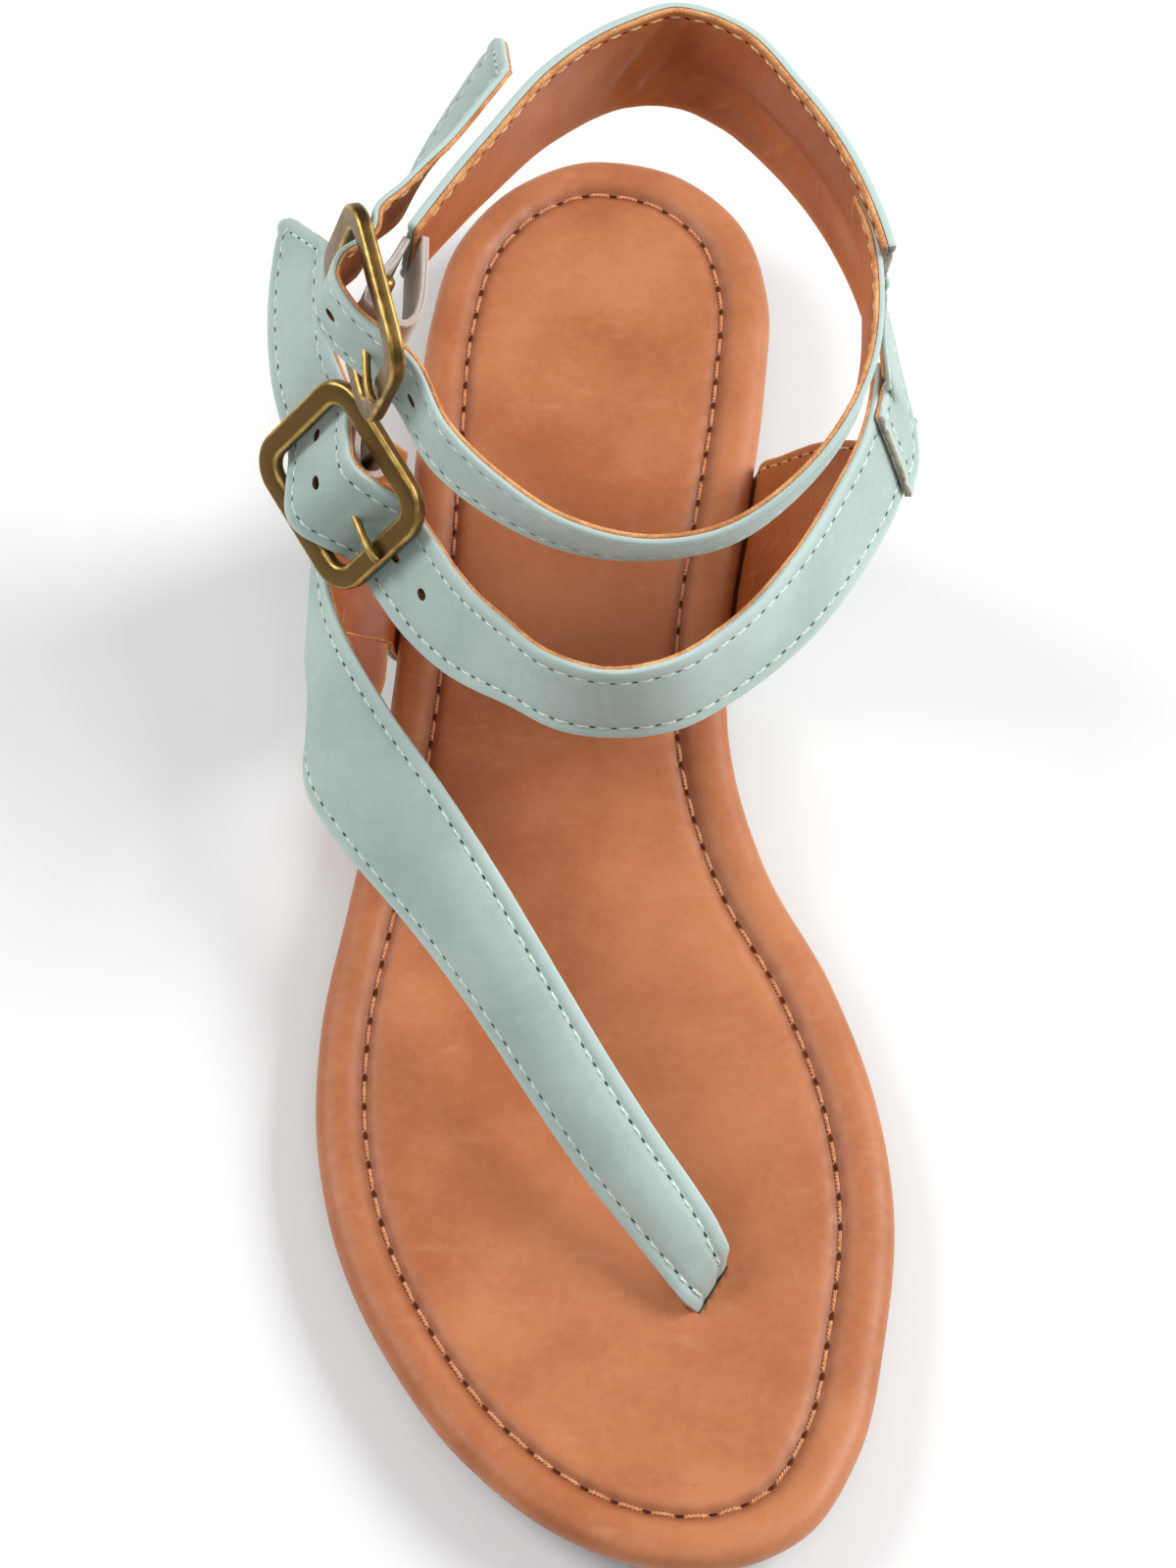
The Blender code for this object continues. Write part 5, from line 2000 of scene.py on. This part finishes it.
    def upper_strap(self) -> LeatherSheet:
        """Return the upper ankle strap."""
        grid = StrapRoute(self.upper_rows, UPPER_PLACE, self.upper_free, self.upper_thread).grid()
        return self.strap("upper_strap", grid, dict(self.strap_seams), seed=23.0)

    def heel_strap(self) -> LeatherSheet:
        """Layer the strap behind the heel, with its lining creased where it bends.

        Returns:
            The sheet.
        """
        grid = strap_grid(leaned(self.heel_rows), self.heel_sections)
        return self.strap(
            "heel_strap", grid, {Edge.LOW: 2.4, Edge.HIGH: 2.4}, seed=25.0,
            creases=[Crease(*row, Face.LINING) for row in self.heel_creases],
            raw_edges={Edge.END: self.finishes.raw_grey}, outer_height=1.2, lining_height=0.8, step=0.8,
        )

    def on_strap(self, strap: Array, run: float, share: float, lift: float) -> Array:
        """Find a point on a strap.

        Args:
            strap: middle points of the strap.
            run: how far along it.
            share: share of the way across it.
            lift: how far off its middle.

        Returns:
            The point.
        """
        middle = strap[:, STRAP_MIDDLE]
        runs = lengths(middle)
        at = int(np.clip(np.searchsorted(runs, run, side="right") - 1, 0, len(runs) - 2))
        f = (run - runs[at]) / (runs[at + 1] - runs[at])
        low = strap[at, 0] * (1 - f) + strap[at + 1, 0] * f
        high = strap[at, -1] * (1 - f) + strap[at + 1, -1] * f
        normal = unit(np.cross(high - low, middle[at + 1] - middle[at]))
        return low + (high - low) * share + normal * lift

    def quarter_grid(self, strap: Array) -> Array:
        """Shape the inner quarter from the sole to the back of the lower strap.

        Args:
            strap: middle points of the lower strap.

        Returns:
            The quarter's middle points.
        """
        rows = []
        for (y, middle, run), share in zip(self.quarter_rows, self.knee_shares):
            knee = self.on_strap(strap, run, share, self.knee_lift)
            top = self.on_strap(strap, run, self.sewn_share, -self.lap)
            feet = self.last.foot_of(Side.INNER, y)
            upper = spline((feet[-1], middle, knee, top), self.leg_points)
            rows.append(spline([*feet[:-1], *upper], self.quarter_across))
        return loft(np.array(rows), self.quarter_sections)

    def inner_quarter(self, strap: Array) -> LeatherSheet:
        """Return the inner quarter."""
        seams = {Edge.START: 1.6, Edge.END: 2.0}
        return self.strap("inner_quarter", self.quarter_grid(strap), seams, seed=27.0, lining_seams=seams)

    def inner_tab(self, strap: Array) -> LeatherSheet:
        """Layer the short tab that joins the heel strap to the lower strap, with a raw lower end.

        Args:
            strap: middle points of the lower strap.

        Returns:
            The sheet.
        """
        rows = [
            [self.on_strap(strap, run + shift, share, self.tab_lift) for share, shift in self.tab_slant]
            for run in self.tab_runs
        ]
        for front, rear in self.tab_rows:
            ends = np.array([front, rear])
            rows.append([ends[0], ends.mean(axis=0), ends[1]])
        grid = loft(np.array(rows), self.tab_sections)
        wide = np.stack([spline(section, self.tab_across) for section in grid])
        seams = {Edge.LOW: 2.4, Edge.HIGH: 2.4, Edge.START: 3.0, Edge.END: 2.0}
        return self.strap(
            "inner_tab", wide, seams, seed=29.0, lining_seams={}, outer_height=0.6, lining_height=0.6,
            raw_edges={Edge.START: self.finishes.raw_grey},
        )

    def loop_grid(self, place: BucklePlace, path: Table, shift: float) -> Array:
        """Loop a tab round the centre bar of a buckle.

        Args:
            place: the buckle.
            path: run and height of the loop.
            shift: how far it sits off the buckle's middle.

        Returns:
            The tab's middle points.
        """
        curve = spline([(u, n, 0.0) for u, n in path], self.loop_sections)
        across = shift + np.linspace(-1.0, 1.0, self.loop_across) * self.tab_width / 2
        return np.array([[place.point(u, v, n) for v in across] for u, n, _ in curve])

    def tab(self, name: str, place: BucklePlace, path: Table, shift: float) -> LeatherSheet:
        """Make an elastic tab.

        Args:
            name: name of the tab.
            place: the buckle that it holds.
            path: its loop.
            shift: how far it sits off the buckle's middle.

        Returns:
            The sheet.
        """
        made = self.finishes.elastic
        half = self.tab_thick / 2
        return LeatherSheet(
            name, self.loop_grid(place, path, shift), made, made, made, made,
            outer_height=half, lining_height=half, rim=0.35, wave=0.0, step=0.7, seed=31.0,
        )

    def slot(self, place: BucklePlace) -> Piece:
        """Make a cutter that opens a tab for the prong.

        Args:
            place: the buckle that the tab holds.

        Returns:
            The cutter.
        """
        runs, shifts = (-self.slot_run, self.slot_run), (-self.slot_half, self.slot_half)
        corners = [place.point(u, v, n) for u in runs for v in shifts for n in self.slot_heights]
        faces = [(0, 1, 3, 2), (4, 6, 7, 5), (0, 4, 5, 1), (2, 3, 7, 6), (0, 2, 6, 4), (1, 5, 7, 3)]
        return add_mesh("slot", np.array(corners), faces, [self.finishes.elastic])

    def hole(self, sheet: LeatherSheet, run: float) -> Piece:
        """Make a cutter for a punched hole in the middle of a strap.

        Args:
            sheet: the strap.
            run: how far along it.

        Returns:
            The cutter.
        """
        sides = self.hole_sides
        centre, along, normal = sheet.spot(run)
        across = np.cross(normal, along)
        deep = normal * self.hole_depth
        turns = np.linspace(0.0, 2 * math.pi, sides, endpoint=False)
        first, second = self.hole_radii
        ring = np.cos(turns)[:, None] * along * first + np.sin(turns)[:, None] * across * second
        points = np.concatenate([centre + ring + deep, centre + ring - deep])
        faces = [tuple(range(sides)), tuple(range(2 * sides - 1, sides - 1, -1))]
        faces += [(sides + k, sides + (k + 1) % sides, (k + 1) % sides, k) for k in range(sides)]
        # The cut walls take the dark finish: painted shade inside the hole.
        return add_mesh("hole", points, faces, [self.finishes.punched])


def rounded(long: float, high: float, radius: float, steps: int) -> list[tuple[float, ...]]:
    """Trace a rectangle with rounded corners.

    Args:
        long: half its length.
        high: half its height.
        radius: radius of a corner.
        steps: steps round a corner.

    Returns:
        For each point its place, the direction out of it and its share of the corner.
    """
    rows = []
    for right, top, first in ((1, 1, 0.0), (-1, 1, 0.5), (-1, -1, 1.0), (1, -1, 1.5)):
        for k in range(steps + 1):
            turn = math.pi * (first + 0.5 * k / steps)
            way = (math.cos(turn), math.sin(turn))
            along = right * (long - radius) + radius * way[0]
            up = top * (high - radius) + radius * way[1]
            rows.append((along, up, *way, k / steps))
    return rows


@dataclass
class Buckle:
    """Rounded square frame with a centre bar and a wire prong."""

    place: BucklePlace
    finishes: Finishes
    length: float = 28.0
    height: float = 26.4
    bar_width: float = 3.8
    bar_thick: float = 2.4
    corner: float = 4.4
    corner_steps: int = 14
    bevel: float = 0.75
    bevel_steps: int = 5
    centre_radius: float = 1.1
    centre_drop: float = 1.5
    bar_sides: int = 20
    bar_wear: float = 0.4
    wear_fade: float = 0.5
    prong_radius: float = 0.65
    prong_wrap: float = 2.0
    wrap_turn: tuple[float, float] = (-55.0, -270.0)
    wrap_points: int = 13
    prong_points: int = 70
    prong_sides: int = 16
    # Tone round the prong: a base and a swing that make it lighter on its outward side and darker underneath.
    prong_side_tone: tuple[float, float] = (0.55, 0.35)
    tip_share: float = 0.7
    hole_sides: int = 18
    hole_run: float = 6.2
    # Prong from the centre bar to its tip: run along the buckle, height off its plane.
    prong_rows: Table = ((1.2, 0.6), (3.0, 0.8), (6.4, 1.25), (9.8, 1.95), (12.1, 2.2), (13.7, 1.95))
    hole_rows: Table = ((1.0, 0.6), (3.0, 0.8), (6.4, 1.25), (9.8, 2.0), (11.5, 2.7))

    def ring(self) -> Piece:
        """Make the frame with its centre bar.

        Returns:
            The dressed frame.
        """
        section = rounded(self.bar_width / 2, self.bar_thick / 2, self.bevel, self.bevel_steps)
        long, high = (self.length - self.bar_width) / 2, (self.height - self.bar_width) / 2
        path = rounded(long, high, self.corner, self.corner_steps)
        points, wear = [], []
        for u, v, along, up, _ in path:
            for out, n, _, _, share in section:
                points.append(self.place.point(u + out * along, v + out * up, n))
                wear.append(math.sin(math.pi * share) ** self.wear_fade)
        sides, count = len(section), len(path)
        faces = []
        for r in range(count):
            for k in range(sides):
                a, b = r * sides + k, r * sides + (k + 1) % sides
                c = (r + 1) % count * sides
                faces.append((a, c + k, c + (k + 1) % sides, b))
        piece = add_mesh(self.place.name + "_ring", np.array(points), faces, [self.finishes.brass])
        set_floats(piece, "wear", np.array(wear))
        ends = np.array([self.place.point(0.0, v, -self.centre_drop) for v in (-high, high)])
        radii = np.full(2, self.centre_radius)
        bar = tube("bar", ends, self.place.axes()[0], radii, self.bar_sides, [self.finishes.brass])
        set_floats(bar, "wear", np.full(len(bar.data.vertices), self.bar_wear))
        boolean(piece, [bar], "UNION")
        return piece

    def prong_path(self) -> Array:
        """Trace the prong from its wrap round the bar to its tip.

        Returns:
            Its middle line.
        """
        turns = np.radians(np.linspace(*self.wrap_turn, self.wrap_points))
        runs, heights = self.prong_wrap * np.cos(turns), self.prong_wrap * np.sin(turns) - self.centre_drop
        wrap = np.column_stack([runs, heights, np.zeros(self.wrap_points)])
        rows = np.concatenate([wrap, [(u, n, 0.0) for u, n in self.prong_rows]])
        return np.array([self.place.point(u, 0.0, n) for u, n, _ in spline(rows, self.prong_points)])

    def prong(self) -> Piece:
        """Make the wire prong with a rounded tip.

        Returns:
            The dressed prong.
        """
        path, sides = self.prong_path(), self.prong_sides
        radii = np.full(len(path), self.prong_radius)
        radii[[0, -1]] *= self.tip_share
        name = self.place.name + "_wire"
        piece = tube(name, path, self.place.axes()[1], radii, sides, [self.finishes.brass])
        turns = np.tile(np.linspace(0.0, 2 * math.pi, sides, endpoint=False), len(path))
        # The prong's tone swings round the wire: lighter on its outward side, darker underneath.
        set_floats(piece, "wear", self.prong_side_tone[0] + self.prong_side_tone[1] * np.cos(turns))
        return piece

    def prong_hole(self, material: Material) -> Piece:
        """Make the cutter of the strap hole that the prong passes.

        Args:
            material: what shows inside the hole.

        Returns:
            The cutter.
        """
        path = np.array([self.place.point(u, 0.0, n) for u, n in self.hole_rows])
        radii = np.full(len(path), self.prong_radius + FIT_GAP)
        return tube("prong_hole", path, self.place.axes()[1], radii, self.hole_sides, [material])


@dataclass
class Studio:
    """Pale floor, soft light and the camera."""

    finishes: Finishes
    camera_place: tuple[float, float, float] = (-0.25, -265.2, 511.8)
    camera_target: tuple[float, float, float] = (-0.25, 2.3, 13.0)
    focal_pixels: float = 3628.0
    image_height: float = 1600.0
    sensor: float = 36.0
    near_clip: float = 0.01
    floor_half: float = 3.0
    world_strength: float = 0.2
    # Lights: name, place in metres, size, watts.
    lights: tuple = (
        ("right", (1.0, 0.2, 0.8), 0.7, 17.0),
        ("left", (-1.0, 0.25, 0.95), 0.7, 11.0),
        ("front", (0.05, -0.5, 1.3), 0.8, 3.5),
    )

    def floor(self) -> None:
        """Lay the floor."""
        half = self.floor_half
        mesh = bpy.data.meshes.new("studio_floor")
        corners = [(-half, -half, 0.0), (half, -half, 0.0), (half, half, 0.0), (-half, half, 0.0)]
        mesh.from_pydata(corners, [], [(0, 1, 2, 3)])
        mesh.materials.append(self.finishes.floor)
        item = bpy.data.objects.new("studio_floor", mesh)
        bpy.context.scene.collection.objects.link(item)

    def light(self) -> None:
        """Hang the lights and set the soft surround."""
        for name, place, size, watts in self.lights:
            lamp = bpy.data.lights.new(name, "AREA")
            lamp.size = size
            lamp.energy = watts
            item = bpy.data.objects.new(name, lamp)
            item.location = place
            item.rotation_euler = (-Vector(place)).to_track_quat("-Z", "Y").to_euler()
            bpy.context.scene.collection.objects.link(item)
        world = bpy.data.worlds.new("studio")
        world.use_nodes = True
        surround = world.node_tree.nodes["Background"]
        surround.inputs["Color"].default_value = (1.0, 1.0, 1.0, 1.0)
        surround.inputs["Strength"].default_value = self.world_strength
        bpy.context.scene.world = world
        bpy.context.scene.view_settings.view_transform = "Standard"

    def camera(self) -> None:
        """Set the camera at the photograph's angle."""
        data = bpy.data.cameras.new("camera")
        data.sensor_width = self.sensor
        data.lens = self.focal_pixels / self.image_height * self.sensor
        data.clip_start = self.near_clip
        item = bpy.data.objects.new("camera", data)
        place, target = Vector(self.camera_place) * MM, Vector(self.camera_target) * MM
        item.location = place
        item.rotation_euler = (target - place).to_track_quat("-Z", "Y").to_euler()
        bpy.context.scene.collection.objects.link(item)
        bpy.context.scene.camera = item


def free_end_line(sheet: LeatherSheet, trim: float) -> Line:
    """Trace one seam down a strap's high edge, across its free end and back along its low edge.

    Args:
        sheet: the strap.
        trim: stretch kept free at the sewn end.

    Returns:
        Points of the seam and the directions off the leather.
    """
    end = sheet.seams[Edge.END]
    high = sheet.seam_line(Edge.HIGH, sheet.seams[Edge.HIGH], Face.OUTER, (trim, end))
    low = sheet.seam_line(Edge.LOW, sheet.seams[Edge.LOW], Face.OUTER, (trim, end))
    tip = sheet.seam_line(Edge.END, end, Face.OUTER, (sheet.seams[Edge.LOW], sheet.seams[Edge.HIGH]))
    points = np.concatenate([high[0], tip[0][::-1], low[0][::-1]])
    lifts = np.concatenate([high[1], tip[1][::-1], low[1][::-1]])
    return points, lifts


def build_soles(last: Last, made: Finishes, tree: StitchTree) -> None:
    """Build the outsole and the footbed with their cut-outs and stitches.

    Args:
        last: shape of the sole.
        made: the finishes.
        tree: nodes that lay stitches.
    """
    toe = ToeUpper(last, made)
    ankle = AnkleUpper(last, made)
    strap = ankle.lower_grid()
    outer_turn = widened(toe.flange_grid())
    inner_turn = widened(ankle.quarter_grid(strap)[:, :ankle.turned_in])

    def recesses(material: Material) -> list[Piece]:
        """Make cutters for the quarters between outsole and footbed.

        Args:
            material: what shows on the cut faces.

        Returns:
            The cutters.
        """
        return [
            sheet_tool("outer_recess", outer_turn, toe.flange_thick + 2 * FIT_GAP, material),
            sheet_tool("inner_recess", inner_turn, ankle.strap_thick + 2 * FIT_GAP, material),
        ]

    sole = Outsole(last, made)
    body = sole.build()
    boolean(body, recesses(made.rubber), "DIFFERENCE")
    hand_over(body, "outsole_rubber", "outsole")
    hand_over(sole.ribs(), "outsole_rubber")
    sewing = Stitching(
        tree, made.tan_thread, made.footbed_hole_shade, pitch=4.8, stitch_length=3.7, strand_radius=0.19,
        twist_radius=0.16, twist_turns=3.0, dip=0.5, hole_size=(1.5, 0.4, 0.24),
    )
    bed = Footbed(last, made, sewing)
    pad = bed.build()
    grid = toe.grid()
    end = widened(grid[:int(len(grid) * toe.slot_share)])
    slot = sheet_tool("toe_slot", end, toe.strap_thick + 2 * FIT_GAP, made.footbed)
    boolean(pad, [*recesses(made.footbed), slot], "DIFFERENCE")
    hand_over(pad, "footbed_leather", "footbed")
    hand_over(sewing.sew("footbed_stitches", [bed.seam()], closed=True), "footbed_leather")


def build_toe(last: Last, made: Finishes, sewing: Stitching) -> None:
    """Build the toe strap, the outer quarter and the lower buckle's tab.

    Args:
        last: shape of the sole.
        made: the finishes.
        sewing: stitches of the straps.
    """
    toe = ToeUpper(last, made)
    sheet = toe.sheet()
    hand_over(sheet.build(), "strap_leather", "upper_outer")
    hand_over(toe.flange().build(), "strap_leather")
    trims = dict(toe.trims)
    lines = [sheet.seam_line(edge, offset, Face.OUTER, trims[edge]) for edge, offset in toe.seams]
    hand_over(sewing.sew("toe_strap_stitches", lines), "strap_leather")
    ankle = AnkleUpper(last, made)
    tab = ankle.tab("lower_buckle_tab", LOWER_PLACE, ankle.lower_loop, ankle.lower_tab_shift).build()
    boolean(tab, [ankle.slot(LOWER_PLACE)], "DIFFERENCE")
    hand_over(tab, "strap_leather")


def build_ankle(last: Last, made: Finishes, sewing: Stitching) -> None:
    """Build the inner quarter, the ankle straps, the heel strap and the tabs.

    Args:
        last: shape of the sole.
        made: the finishes.
        sewing: stitches of the straps' outer faces.
    """
    ankle = AnkleUpper(last, made)
    inside = replace(sewing, thread=made.lining_thread, hole=made.footbed_hole_shade)
    for sheet, buckle, holes in (
        (ankle.lower_strap(), Buckle(LOWER_PLACE, made), (-2, -1, 1, 2)),
        (ankle.upper_strap(), Buckle(UPPER_PLACE, made), (-1, 1)),
    ):
        piece = sheet.build()
        prong_run = sheet.run_of(buckle.place.point(buckle.hole_run, 0.0, 0.0))
        cutters = [ankle.hole(sheet, prong_run + k * ankle.hole_pitch) for k in holes]
        # Hole walls take the dark finish: painted shade inside the holes.
        boolean(piece, [*cutters, buckle.prong_hole(made.punched)], "DIFFERENCE")
        hand_over(piece, "strap_leather", "upper_inner")
        end_line = free_end_line(sheet, ankle.strap_trims[0])
        hand_over(sewing.sew(sheet.name + "_stitches", [end_line]), "strap_leather")
        lines = sheet.lines(Face.LINING, ankle.strap_trims)
        hand_over(inside.sew(sheet.name + "_lining_stitches", lines), "strap_leather")
    strap = ankle.lower_grid()
    for sheet, trims in (
        (ankle.heel_strap(), ankle.strap_trims), (ankle.inner_quarter(strap), ankle.quarter_trims),
        (ankle.inner_tab(strap), ankle.tab_trims),
    ):
        hand_over(sheet.build(), "strap_leather", "upper_inner")
        hand_over(sewing.sew(sheet.name + "_stitches", sheet.lines(Face.OUTER, trims)), "strap_leather")
        if sheet.lining_seams:
            lines = sheet.lines(Face.LINING, trims)
            hand_over(inside.sew(sheet.name + "_lining_stitches", lines), "strap_leather")
    tab = ankle.tab("upper_buckle_tab", UPPER_PLACE, ankle.upper_loop, 0.0).build()
    boolean(tab, [ankle.slot(UPPER_PLACE)], "DIFFERENCE")
    hand_over(tab, "strap_leather")


def build_buckles(made: Finishes) -> None:
    """Build both buckles.

    Args:
        made: the finishes.
    """
    for place in (UPPER_PLACE, LOWER_PLACE):
        buckle = Buckle(place, made)
        hand_over(buckle.ring(), "buckle_brass", place.name + "_frame")
        hand_over(buckle.prong(), "buckle_brass", place.name + "_prong")


def main() -> None:
    """Build the sandal, light it and set the camera."""
    logging.basicConfig(level=logging.INFO, format="%(name)s %(message)s")
    made = Finishes()
    last = Last()
    tree = StitchTree()
    sewing = Stitching(
        tree, made.pale_thread, made.strap_hole_shade, pitch=3.3, stitch_length=2.5, strand_radius=0.17,
        twist_radius=0.09, twist_turns=1.0, dip=0.4, hole_size=(0.95, 0.4, 0.2),
    )
    build_soles(last, made, tree)
    build_toe(last, made, sewing)
    build_ankle(last, made, sewing)
    build_buckles(made)
    studio = Studio(made)
    studio.floor()
    studio.light()
    studio.camera()


if __name__ == "__main__":
    main()
